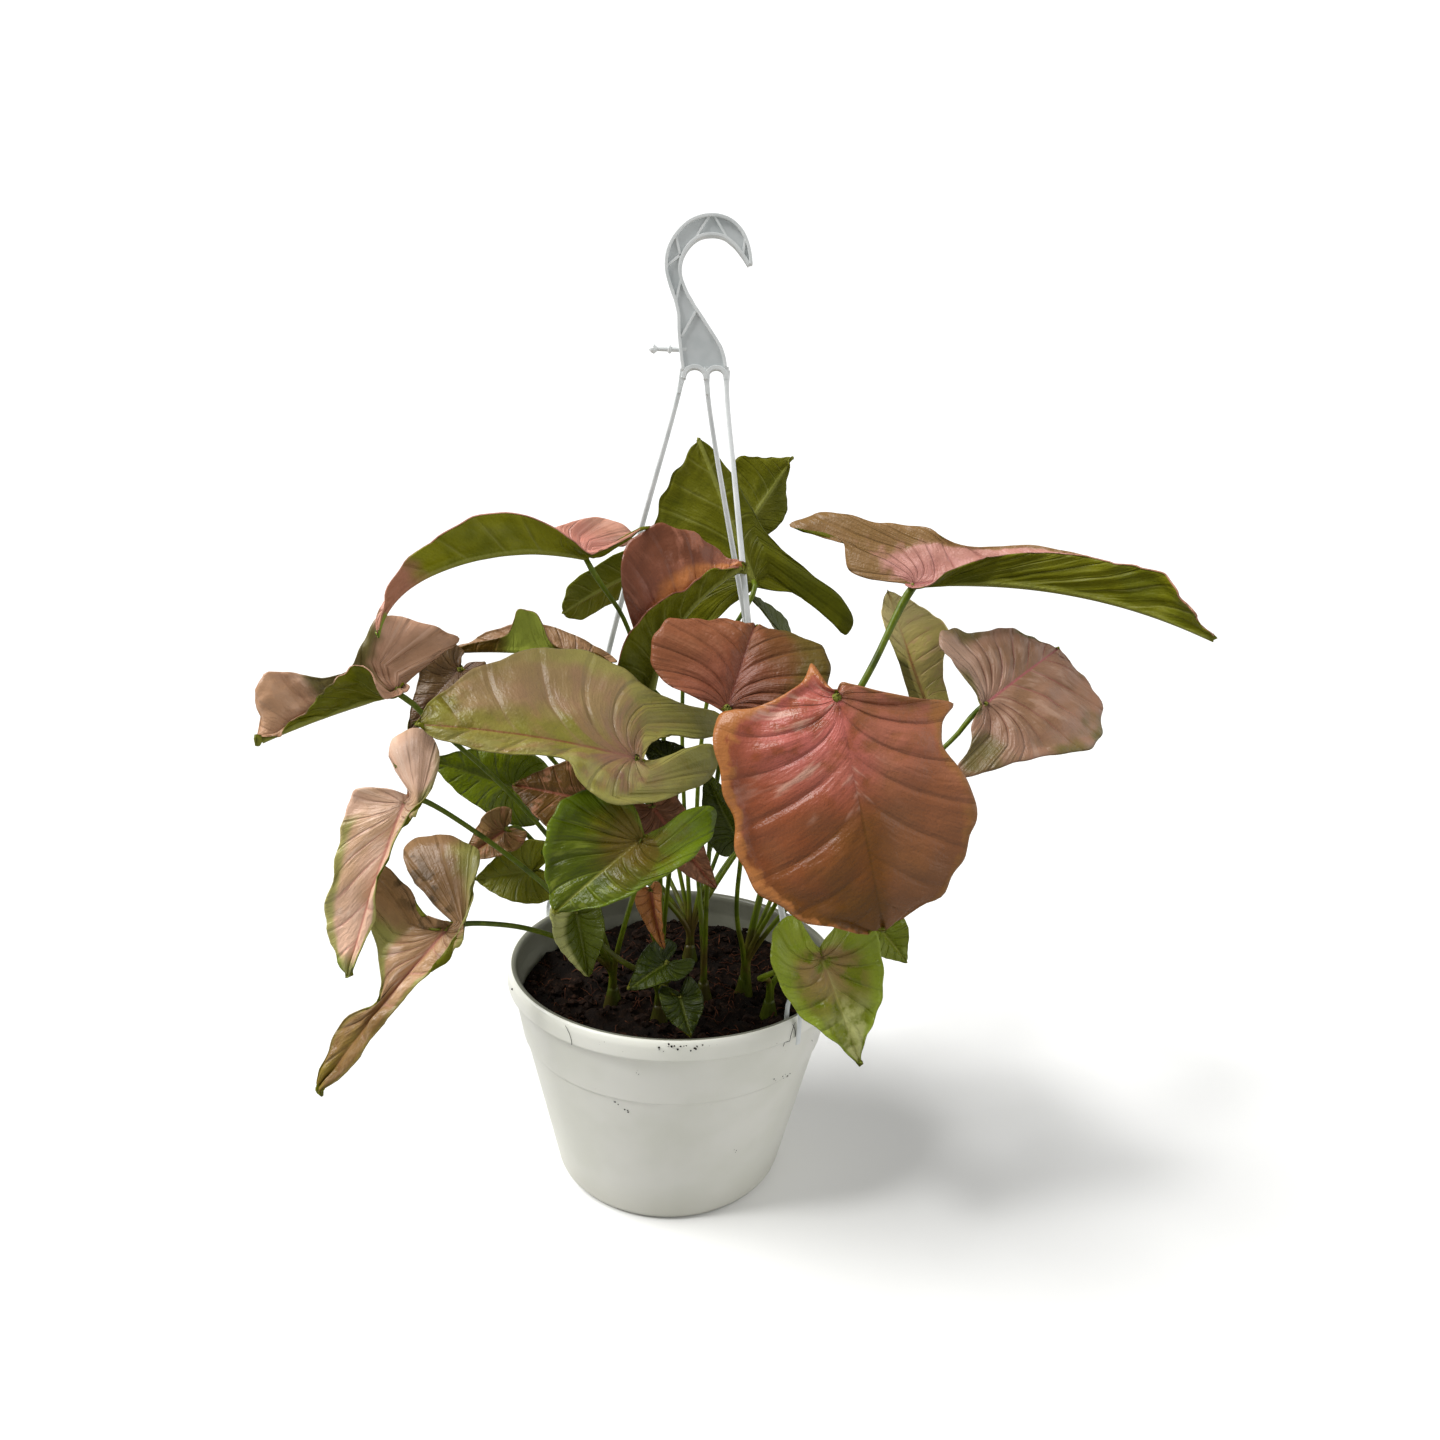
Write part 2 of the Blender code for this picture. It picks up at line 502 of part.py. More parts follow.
def make_blade(row):
    """A leaf blade of even thickness."""
    count = len(row["halves"][0]) - 1 if row["halves"] else 11
    if max(row["width"]) < 20:
        count = 8
    bm = blade_mesh(row, count, 2 if max(row["width"]) < 30 else 3)
    skin = list(bm.faces)
    bm.normal_update()
    inward = {vert: vert.normal.copy() for vert in bm.verts}
    copy = bmesh.ops.duplicate(bm, geom=list(bm.verts) + list(bm.edges) + skin)
    twins = copy["vert_map"]
    for vert, normal in inward.items():
        twins[vert].co = vert.co - normal * BLADE
    lower = [copy["face_map"][face] for face in skin]
    bmesh.ops.reverse_faces(bm, faces=lower)
    rim = [edge for edge in bm.edges if edge.is_boundary and edge.verts[0] in inward]
    for edge in rim:
        one, two = edge.verts
        loop = edge.link_loops[0]
        if loop.vert != one:
            one, two = two, one
        bm.faces.new((two, one, twins[one]))
        bm.faces.new((two, twins[one], twins[two]))
    return finish(bm, row["name"], row["colour"], 0.45)


def tube(path, radii, sides, last=None):
    """A closed round stalk along the path; last turns its end ring to face that way."""
    bm = bmesh.new()
    path = np.asarray(path, float)
    guide = np.array([0.0, 1.0, 0.0])
    rings = []
    for i in range(len(path)):
        ahead = unit(path[min(i + 1, len(path) - 1)] - path[max(i - 1, 0)])
        if last is not None and i == len(path) - 1:
            ahead = unit(last)
        guide = unit(guide - ahead * np.dot(guide, ahead))
        other = np.cross(ahead, guide)
        ring = []
        for j in range(sides):
            t = 2 * math.pi * j / sides
            place = path[i] + (guide * math.cos(t) + other * math.sin(t)) * radii[i]
            ring.append(bm.verts.new(place))
        rings.append(ring)
    for one, two in zip(rings, rings[1:]):
        for j in range(sides):
            k = (j + 1) % sides
            bm.faces.new((one[j], one[k], two[k], two[j]))
    bm.faces.new(rings[0][::-1])
    bm.faces.new(rings[-1])
    bmesh.ops.triangulate(bm, faces=bm.faces)
    bmesh.ops.recalc_face_normals(bm, faces=bm.faces)
    return bm


def rounded(points, rings):
    """A line with its corners cut round, as evenly spaced points."""
    line = np.asarray(points, float)
    for _ in range(3):
        near = line[:-1] * 0.75 + line[1:] * 0.25
        far = line[:-1] * 0.25 + line[1:] * 0.75
        line = np.concatenate([line[:1], np.stack([near, far], 1).reshape(-1, 3), line[-1:]])
    step = np.linalg.norm(np.diff(line, axis=0), axis=1)
    run = np.concatenate([[0], np.cumsum(step)])
    want = np.linspace(0, run[-1], rings)
    return np.stack([np.interp(want, run, line[:, i]) for i in range(3)], 1)


def stalk_path(row):
    """The line of one leaf's stalk, from inside its bundle to just under the blade."""
    length, table = spine(row)
    at = int(np.argmin(np.abs(table[0])))
    along = table[2][at]
    up = table[3][at]
    low = min(row["fold"][0], row["fold"][2])
    slack = BLADE + GAP + 0.1 + row["thick"] * math.tan(math.radians(max(0, -low) + 4))
    end = np.asarray(row["joint"], float) - up * slack
    arrive = unit(up + along * row["lead"])
    x, y = STUBS[row["stalk"]]
    points = [(x, y, STUB_HEAD - 14), (x, y, STUB_HEAD + 8)]
    points += list(row["via"])
    points += [end - arrive * 12, end]
    return rounded(points, 9), up


def make_stalks():
    """Each bundle of stalks, fused into one body on a round foot."""
    for number, (x, y) in enumerate(STUBS):
        foot = [(x, y, STUB_FOOT), (x, y, STUB_HEAD - 8), (x, y, STUB_HEAD)]
        bundle = finish(tube(foot, (STUB_RADIUS, STUB_RADIUS, STUB_RADIUS * 0.75), 10),
                        "stalk_%d" % (number + 1), "4A6420", 0.5)
        parts = []
        for row in LEAVES:
            if row["stalk"] != number:
                continue
            path, up = stalk_path(row)
            t = np.linspace(0, 1, len(path))
            radii = row["thick"] * (1.8 - 0.8 * np.clip(t * 1.5, 0, 1))
            parts.append(finish(tube(path, radii, 6, up), "part", "4A6420", 0.5))
        if parts:
            apply_boolean(bundle, parts, "UNION")


def spun(profile, sides, name, colour, roughness):
    """A body turned about the upright axis from a closed outline of radius and height."""
    bm = bmesh.new()
    verts = [bm.verts.new((r, 0, z)) for r, z in profile]
    edges = [bm.edges.new((verts[i], verts[(i + 1) % len(verts)])) for i in range(len(verts))]
    bmesh.ops.spin(bm, geom=verts + edges, cent=(0, 0, 0), axis=(0, 0, 1), angle=2 * math.pi,
                   steps=sides, use_merge=True)
    bmesh.ops.remove_doubles(bm, verts=bm.verts, dist=0.01)
    bmesh.ops.recalc_face_normals(bm, faces=bm.faces)
    return finish(bm, name, colour, roughness)


def wall_radius(z):
    """The pot's outer radius below its lip."""
    if z >= STEP_Z:
        return 89.8 + (z - STEP_Z) * 0.19
    return BASE_RADIUS + 2.5 + (z - 3.0) * 20.1 / (STEP_Z - 3.0)


def make_pot():
    """The pot: a tapered cup with a rolled lip, a step line, and six drain holes."""
    under = POT_HEIGHT - LIP_HEIGHT
    outside = [
        (0.0, 0.0), (BASE_RADIUS, 0.0), (BASE_RADIUS + 1.9, 0.8), (BASE_RADIUS + 2.5, 3.0),
        (wall_radius(STEP_Z - 0.4), STEP_Z - 0.4), (wall_radius(STEP_Z) - 0.2, STEP_Z + 0.2),
        (wall_radius(under), under), (RIM_RADIUS - 1.0, under), (RIM_RADIUS, under + 1.0),
        (RIM_RADIUS - 0.1, POT_HEIGHT - 2.5), (RIM_RADIUS - 1.4, POT_HEIGHT - 0.6),
        (RIM_RADIUS - 3.2, POT_HEIGHT),
    ]
    inside = [
        (RIM_RADIUS - 4.8, POT_HEIGHT - 0.8), (RIM_RADIUS - 5.6, POT_HEIGHT - 3.0),
        (wall_radius(under) - WALL, under - 2.0),
        (wall_radius(STEP_Z) - WALL, STEP_Z), (BASE_RADIUS + 1.2, FLOOR + 2.5),
        (BASE_RADIUS - 1.2, FLOOR), (0.0, FLOOR),
    ]
    pot = spun(outside + inside, 36, "pot", "E4E6E1", 0.35)
    cutters = []
    for k in range(6):
        t = math.radians(60 * k + 30)
        x = 44 * math.cos(t)
        y = 44 * math.sin(t)
        cutters.append(finish(tube([(x, y, -5), (x, y, 12)], (4, 4), 12), "hole", "E4E6E1", 0.4))
    apply_boolean(pot, cutters, "DIFFERENCE")
    return pot


def soil_height(x, y):
    """The uneven top of the soil."""
    lump = 1.5 * math.sin(x * 0.11 + 1.0) * math.cos(y * 0.13)
    return SOIL_TOP + lump + 1.0 * math.sin(x * 0.31 + y * 0.27) + 0.8 * math.cos(x * 0.19 - y * 0.37)


def make_soil():
    """The soil that fills the pot, lumpy on top, with a round hole for each bundle of stalks."""
    bm = bmesh.new()
    edge = wall_radius(SOIL_TOP) - WALL - GAP - 0.6
    outline = [(0.0, FLOOR + GAP), (BASE_RADIUS - 1.6, FLOOR + GAP), (BASE_RADIUS + 0.7, FLOOR + 2.8),
               (wall_radius(STEP_Z) - WALL - GAP - 0.3, STEP_Z), (edge, SOIL_TOP - 2)]
    outline += [(edge * f, SOIL_TOP) for f in (0.86, 0.71, 0.56, 0.41, 0.26, 0.12)] + [(0.0, SOIL_TOP)]
    verts = [bm.verts.new((r, 0, z)) for r, z in outline]
    edges = [bm.edges.new((a, b)) for a, b in zip(verts, verts[1:])]
    bmesh.ops.spin(bm, geom=verts + edges, cent=(0, 0, 0), axis=(0, 0, 1), angle=2 * math.pi, steps=30,
                   use_merge=True)
    bmesh.ops.remove_doubles(bm, verts=bm.verts, dist=0.01)
    for vert in bm.verts:
        if vert.co.z > SOIL_TOP - 0.5:
            vert.co.z = soil_height(vert.co.x, vert.co.y)
    bmesh.ops.recalc_face_normals(bm, faces=bm.faces)
    bmesh.ops.triangulate(bm, faces=bm.faces)
    soil = finish(bm, "soil", "2A1810", 0.95)
    cutters = []
    for x, y in STUBS:
        hole = STUB_RADIUS + GAP
        cutters.append(finish(tube([(x, y, STUB_FOOT - GAP), (x, y, 140)], (hole, hole), 10), "hole",
                              "2A1810", 0.9))
    apply_boolean(soil, cutters, "DIFFERENCE")
    return soil


# The hook's middle line and half widths, from its tip over the top and down into the plate
HOOK = (
    (27.6, 512.5, 1.4), (25.6, 517.6, 3.2), (21.6, 524.4, 4.6), (15.4, 529.6, 5.2), (7.2, 531.0, 5.4),
    (-1.4, 529.0, 5.2), (-7.8, 523.4, 5.0), (-11.6, 516.6, 4.8), (-12.4, 509.6, 4.4), (-10.6, 502.6, 4.0),
    (-7.2, 495.4, 4.2), (-3.6, 487.6, 5.4), (-0.4, 478.6, 7.8), (2.8, 469.6, 10.2), (5.6, 461.5, 12.4),
)


def strip(stations, low, high):
    """A flat band through stations of x, z and half width, as thick as low to high in y."""
    bm = bmesh.new()
    rings = []
    for i, (x, z, half) in enumerate(stations):
        before = stations[max(i - 1, 0)]
        after = stations[min(i + 1, len(stations) - 1)]
        along = unit((after[0] - before[0], after[1] - before[1]))
        side = (-along[1], along[0])
        ring = []
        for s, y in ((-1, low), (1, low), (1, high), (-1, high)):
            ring.append(bm.verts.new((x + side[0] * s * half, y, z + side[1] * s * half)))
        rings.append(ring)
    for one, two in zip(rings, rings[1:]):
        for j in range(4):
            k = (j + 1) % 4
            bm.faces.new((one[j], one[k], two[k], two[j]))
    bm.faces.new(rings[0][::-1])
    bm.faces.new(rings[-1])
    bmesh.ops.triangulate(bm, faces=bm.faces)
    bmesh.ops.recalc_face_normals(bm, faces=bm.faces)
    return bm


# Each arm's line from the plate down to the rim, in order left, middle, right
RIM_ANGLES = (150.0, 36.0, -46.0)
ARMS = (
    ((-5.0, 0, 462), (-8.0, 2, 445), (-25.0, 10, 385), (-44.0, 20, 314), (-66, 36, 220)),
    ((6.8, 0, 462), (8.0, 2, 445), (21.0, 10, 385), (33.5, 20, 330), (58, 42, 220)),
    ((17.5, 0, 462), (18.3, -2, 445), (22.8, -9, 414), (34.0, -26, 333), (50, -48, 220)),
)


def make_hanger():
    """The moulded hanger: a ribbed hook, its plate, a side peg, three arms and their rim clips."""
    hanger = finish(strip(HOOK, -0.9, 0.9), "hanger", "C6CBCB", 0.3, smooth=False)
    parts = []
    for sign in (-1, 1):
        edge = []
        for i, (x, z, half) in enumerate(HOOK):
            before = HOOK[max(i - 1, 0)]
            after = HOOK[min(i + 1, len(HOOK) - 1)]
            along = unit((after[0] - before[0], after[1] - before[1]))
            shift = sign * (half - 0.85)
            edge.append((x - along[1] * shift, z + along[0] * shift, 0.9))
        parts.append(strip(edge, -2.6, 2.6))
    for i in range(1, len(HOOK) - 2):
        one = HOOK[i]
        two = HOOK[i + 1]
        along = unit((two[0] - one[0], two[1] - one[1]))
        s = 1 if i % 2 else -1
        a = (one[0] - along[1] * s * (one[2] - 1), one[1] + along[0] * s * (one[2] - 1), 0.55)
        b = (two[0] + along[1] * s * (two[2] - 1), two[1] - along[0] * s * (two[2] - 1), 0.55)
        parts.append(strip((a, b), -2.0, 2.0))
    parts.append(strip(((-4.0, 470.2, 1.3), (-20.0, 470.0, 1.1), (-20.4, 470.0, 2.6), (-23.6, 469.9, 0.8)),
                       -1.3, 1.3))
    parts.append(strip(((-12.2, 470.1, 2.2), (-13.6, 470.1, 2.2)), -1.8, 1.8))
    parts.append(strip(((-6.6, 460.9, 1.6), (6.8, 462.6, 1.6), (18.0, 461.2, 1.6)), -2.6, 2.6))
    for angle, line in zip(RIM_ANGLES, ARMS):
        t = math.radians(angle)
        head = RIM_RADIUS - 1.2
        top = (head * math.cos(t), head * math.sin(t), POT_HEIGHT + 9.4)
        path = rounded(list(line) + [top], 14)
        parts.append(tube(path, [1.9] * 14, 6))
        clip = []
        for r, z in ((RIM_RADIUS + 1.6, POT_HEIGHT - 13), (RIM_RADIUS + 2.0, POT_HEIGHT + 2),
                     (RIM_RADIUS + 0.8, POT_HEIGHT + 7.5), (RIM_RADIUS - 2.6, POT_HEIGHT + 10.4),
                     (RIM_RADIUS - 6.2, POT_HEIGHT + 7.5), (RIM_RADIUS - 7.4, POT_HEIGHT + 2),
                     (RIM_RADIUS - 7.4, POT_HEIGHT - 7)):
            clip.append((r * math.cos(t), r * math.sin(t), z))
        parts.append(tube(clip, [1.25] * 7, 6))
    helpers = [finish(bm, "part", "C6CBCB", 0.3, smooth=False) for bm in parts]
    apply_boolean(hanger, helpers, "UNION")
    return hanger


def main():
    """Build every piece."""
    clear_scene()
    make_pot()
    make_soil()
    make_hanger()
    make_stalks()
    for row in LEAVES:
        make_blade(row)


main()
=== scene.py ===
"""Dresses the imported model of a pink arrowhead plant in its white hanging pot.

Lengths are in millimetres, as in the part's source, unless a comment says otherwise, and each mesh is
turned into metres at its end.
"""

import math
import random

import bmesh
import bpy
import numpy as np
from mathutils import Matrix, Vector, noise


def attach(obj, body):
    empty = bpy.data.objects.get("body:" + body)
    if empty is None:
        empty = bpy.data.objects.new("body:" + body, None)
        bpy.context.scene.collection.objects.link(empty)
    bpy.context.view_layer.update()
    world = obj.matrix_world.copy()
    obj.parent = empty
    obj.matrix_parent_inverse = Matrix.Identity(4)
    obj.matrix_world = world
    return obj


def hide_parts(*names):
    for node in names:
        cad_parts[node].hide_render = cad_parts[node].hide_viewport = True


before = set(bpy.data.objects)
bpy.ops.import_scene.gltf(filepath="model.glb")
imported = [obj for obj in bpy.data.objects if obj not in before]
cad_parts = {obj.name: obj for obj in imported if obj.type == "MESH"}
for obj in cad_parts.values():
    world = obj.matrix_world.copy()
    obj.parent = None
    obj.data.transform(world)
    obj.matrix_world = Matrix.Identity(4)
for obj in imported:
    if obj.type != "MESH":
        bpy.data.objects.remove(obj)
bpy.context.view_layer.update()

# Sizes that the part's source also uses, in millimetres
POT_HEIGHT = 128.0
RIM_RADIUS = 98.5
BASE_RADIUS = 66.0
LIP_HEIGHT = 12.0
STEP_Z = 87.0
STEP_RADIUS = 89.8
LOWER_GROWTH = 20.1
UPPER_TAPER = 0.19
WALL = 2.0
FLOOR = 3.0
SOIL_TOP = 107.0
STUB_FOOT = 92.0
STUB_HEAD = 124.0

# The photograph's camera, fitted to the pot's lip and to the hook: pixels, metres and degrees
PHOTO_PIXELS = 1440
FOCAL_PIXELS = 887
EYE = (0.0215, -0.497, 0.373)
PITCH = 11.5
ROLL = 2.3

# Millimetres in one unit of a leaf's flat map
FLAT_UNIT = 100

# Side veins on each half of most leaves, and how far one bends on its way out, as a share of the edge
VEINS = 10
VEIN_BEND = 0.03

# How far a plain lobe leans out, as a share of its length
LOBE_SPREAD = 0.1

# How far the lines from the midrib to the edge lean towards the tip, as a share of the way across
LINE_LEAN = 0.45

# From this share of the midrib on its tip curls, and the weight brings the curl to its whole angle
CURL_START = 0.6
CURL_WEIGHT = 12.5

# Half a blade's edge from the notch round the lobe to the tip: across, then lobe or length shares
EDGE = (
    (0.0, -0.10), (0.16, -0.52), (0.34, -0.90), (0.58, -1.0), (0.83, -0.72), (0.97, -0.22),
    (1.0, 0.08), (0.95, 0.27), (0.80, 0.47), (0.56, 0.66), (0.28, 0.84), (0.0, 1.0),
)

# Blades whose edges are their own: each half as points across and along, notch to tip
FRONT = (
    ((0, -3), (3, -7), (8, -5), (19, 0), (36, 6), (53, 11), (45, 20), (43, 30), (48, 43), (52, 58),
     (47, 74), (39, 88), (27, 102), (0, 114)),
    ((0, -3), (4, -8), (9, -21), (14, -14), (24, -8), (43, -4), (57, -5), (62, 12), (61, 29), (59, 48),
     (60, 64), (54, 82), (36, 100), (0, 114)),
)
PALE = (
    ((0, -4), (-4, -13), (-13, -24), (-21, -37), (-12, -43), (1, -37), (10, -26), (22, -9), (28, 10),
     (20, 24), (11, 34), (12, 60), (8, 86), (0, 102)),
    ((0, -4), (13, -8), (20, -20), (26, -35), (38, -48), (44, -38), (40, -18), (42, -2), (50, 13),
     (57, 30), (55, 52), (45, 70), (24, 92), (0, 102)),
)
HEART = (
    ((0, -3), (2, -13), (3, -26), (8, -37), (15, -36), (21, -25), (24, -10), (21, 8), (15, 30), (0, 52)),
    ((0, -3), (14, -8), (25, -4), (34, 3), (37, 17), (30, 31), (20, 41), (12, 47), (6, 50), (0, 52)),
)
RIGHT_HEART = (
    ((0, -4), (8, -10), (20, -16), (30, -10), (30, 0), (27, 12), (21, 24), (11, 35), (4, 43), (0, 50)),
    ((0, -4), (2, -13), (4, -23), (12, -25), (21, -17), (25, -8), (25, 4), (21, 19), (11, 33), (0, 50)),
)
BLUSH = (
    ((0, -3), (9, 1), (23, 2), (39, 5), (46, 12), (45, 21), (36, 29), (31, 37), (26, 46), (18, 53),
     (9, 59), (0, 64)),
    ((0, -3), (4, -14), (12, -22), (17, -36), (25, -33), (31, -18), (41, 3), (51, 20), (52, 33),
     (46, 45), (32, 56), (0, 64)),
)
COPPER = (
    ((0, -2), (7, -1), (16, 0), (29, 2), (39, 8), (45, 18), (45, 30), (41, 41), (25, 47), (0, 62)),
    ((0, -2), (9, -2), (22, -6), (37, -8), (44, 4), (45, 20), (43, 36), (38, 48), (22, 57), (0, 62)),
)
CROWN = (
    ((0, -5), (10, -11), (23, -18), (35, -31), (40, -50), (47, -46), (48, -34), (43, -22), (30, 0),
     (19, 21), (14, 46), (11, 66), (5, 84), (0, 92)),
    ((0, -5), (18, -9), (34, -14), (46, -10), (53, 4), (55, 20), (54, 34), (50, 47), (44, 58), (36, 68),
     (26, 76), (16, 82), (6, 88), (0, 92)),
)
HUMP = (
    ((0, -4), (5, -6), (8, -2), (10, 8), (14, 22), (25, 36), (38, 50), (45, 64), (42, 80), (24, 95),
     (0, 105)),
    ((0, -4), (8, -8), (18, -6), (23, 2), (24, 14), (23, 28), (20, 46), (16, 62), (12, 76), (7, 90),
     (0, 105)),
)
ARCHED = (
    ((0, -4), (6, -10), (12, -17), (19, -25), (22, -30), (20, -18), (14, -5), (13, 10), (17, 28), (19, 48),
     (15, 68), (10, 88), (6, 104), (0, 118)),
    ((0, -4), (8, -14), (14, -24), (24, -28), (32, -20), (30, -8), (22, 4), (18, 16), (15, 32), (13, 50),
     (12, 70), (10, 90), (6, 104), (0, 118)),
)
SCARF = (
    ((0, -3), (4, -6), (8, -2), (13, 5), (19, 12), (23, 20), (23, 28), (18, 35), (10, 41), (5, 48), (4, 56),
     (3, 66), (0, 76)),
    ((0, -3), (6, -16), (12, -30), (18, -38), (26, -30), (37, -10), (34, 0), (24, 10), (16, 20), (19, 34),
     (27, 48), (26, 62), (0, 76)),
)
TAB = (
    ((0, -3), (3, -5), (4, 4), (4, 16), (8, 27), (23, 35), (24, 42), (21, 47), (10, 51), (6, 64), (0, 86)),
    ((0, -3), (5, -8), (10, -4), (13, 6), (16, 20), (18, 34), (17, 48), (15, 62), (12, 72), (7, 80),
     (0, 86)),
)
BANNER = (
    ((0, -3), (2, -14), (3, -27), (6, -38), (14, -42), (22, -46), (26, -56), (27, -70), (27, -84),
     (37, -76), (43, -60), (42, -42), (38, -24), (36, -8), (32, 6), (24, 18), (20, 32), (24, 50), (25, 72),
     (22, 100), (20, 130), (0, 172)),
    ((0, -3), (3, -5), (7, -3), (9, 2), (10, 8), (12, 15), (14, 22), (15, 30), (16, 40), (16, 52), (17, 64),
     (18, 76), (19, 88), (20, 100), (21, 112), (23, 122), (24, 132), (24, 142), (22, 152), (16, 160),
     (8, 167), (0, 172)),
)
SHIELD = (
    ((0, -3), (4, -8), (8, -8), (9, 0), (8, 12), (7, 24), (8, 36), (9, 46), (8, 54), (5, 60), (0, 66)),
    ((0, -3), (6, -10), (12, -8), (14, 0), (15, 10), (18, 20), (24, 28), (26, 35), (21, 44), (11, 56),
     (0, 66)),
)
PENNANT = (
    ((0, -3), (6, -6), (12, 0), (16, 10), (17, 18), (15, 27), (7, 37), (1, 48), (0, 53)),
    ((0, -3), (5, -8), (9, 2), (15, 10), (20, 17), (26, 26), (29, 34), (15, 43), (0, 53)),
)
SASH = (
    ((0, -5), (-9, -15), (-24, -19), (-27, -29), (-17, -37), (-4, -37), (7, -27), (10, -8), (6, 4), (5, 20),
     (6, 40), (6, 58), (4, 76), (0, 90)),
    ((0, -5), (8, -5), (16, -3), (26, 1), (28, 8), (26, 18), (23, 32), (19, 46), (21, 56), (22, 62),
     (19, 69), (13, 76), (6, 83), (0, 90)),
)
RIBBON = (
    ((0, -5), (-16, -8), (-37, -4), (-55, -9), (-56, -21), (-42, -33), (-24, -38), (-10, -30), (0, -14),
     (8, 2), (10, 18), (9, 38), (9, 62), (8, 82), (0, 101)),
    ((0, -5), (12, 0), (30, -1), (46, -2), (57, 3), (57, 10), (42, 17), (24, 26), (10, 36), (3, 48),
     (11, 62), (13, 73), (8, 82), (4, 92), (0, 101)),
)
TONGUE = (
    ((0, -3), (8, -10), (15, -6), (18, 8), (17, 24), (15, 38), (13, 50), (10, 58), (5, 62), (0, 64)),
    ((0, -3), (8, -10), (15, -6), (18, 8), (18, 24), (17, 38), (15, 50), (11, 58), (6, 62), (0, 64)),
)

# What a leaf has unless its row says otherwise. In degrees: how far the midrib bends back (arch, curl_tip)
# and aside (sway), how far the lobes hang (droop), and how steeply each half stands at the joint and further
# on (fold), in its lobe (ears) and at its margin (lip). Then the margin's waves as height, count and start,
# the blade's own edges (halves), the stalk's points on its way (via), its radius (thick) and its lean at the
# end (lead)
PLAIN = {
    "arch": 20, "curl_tip": 0, "sway": 0, "droop": 15, "fold": (12, 12, 12, 12), "ears": None, "lip": (0, 0),
    "wave": (2.0, 2.0, 0.0), "halves": None, "via": (), "thick": 1.3, "lead": 0.8,
}


def leaf(name, stalk, joint, tip, face, width, lobe, **more):
    """One leaf's row: where its stalk meets it, where its tip is, which way its upper face looks."""
    row = dict(PLAIN, name=name, stalk=stalk, joint=joint, tip=tip, face=face)
    row.update(width=width, lobe=lobe, **more)
    return row


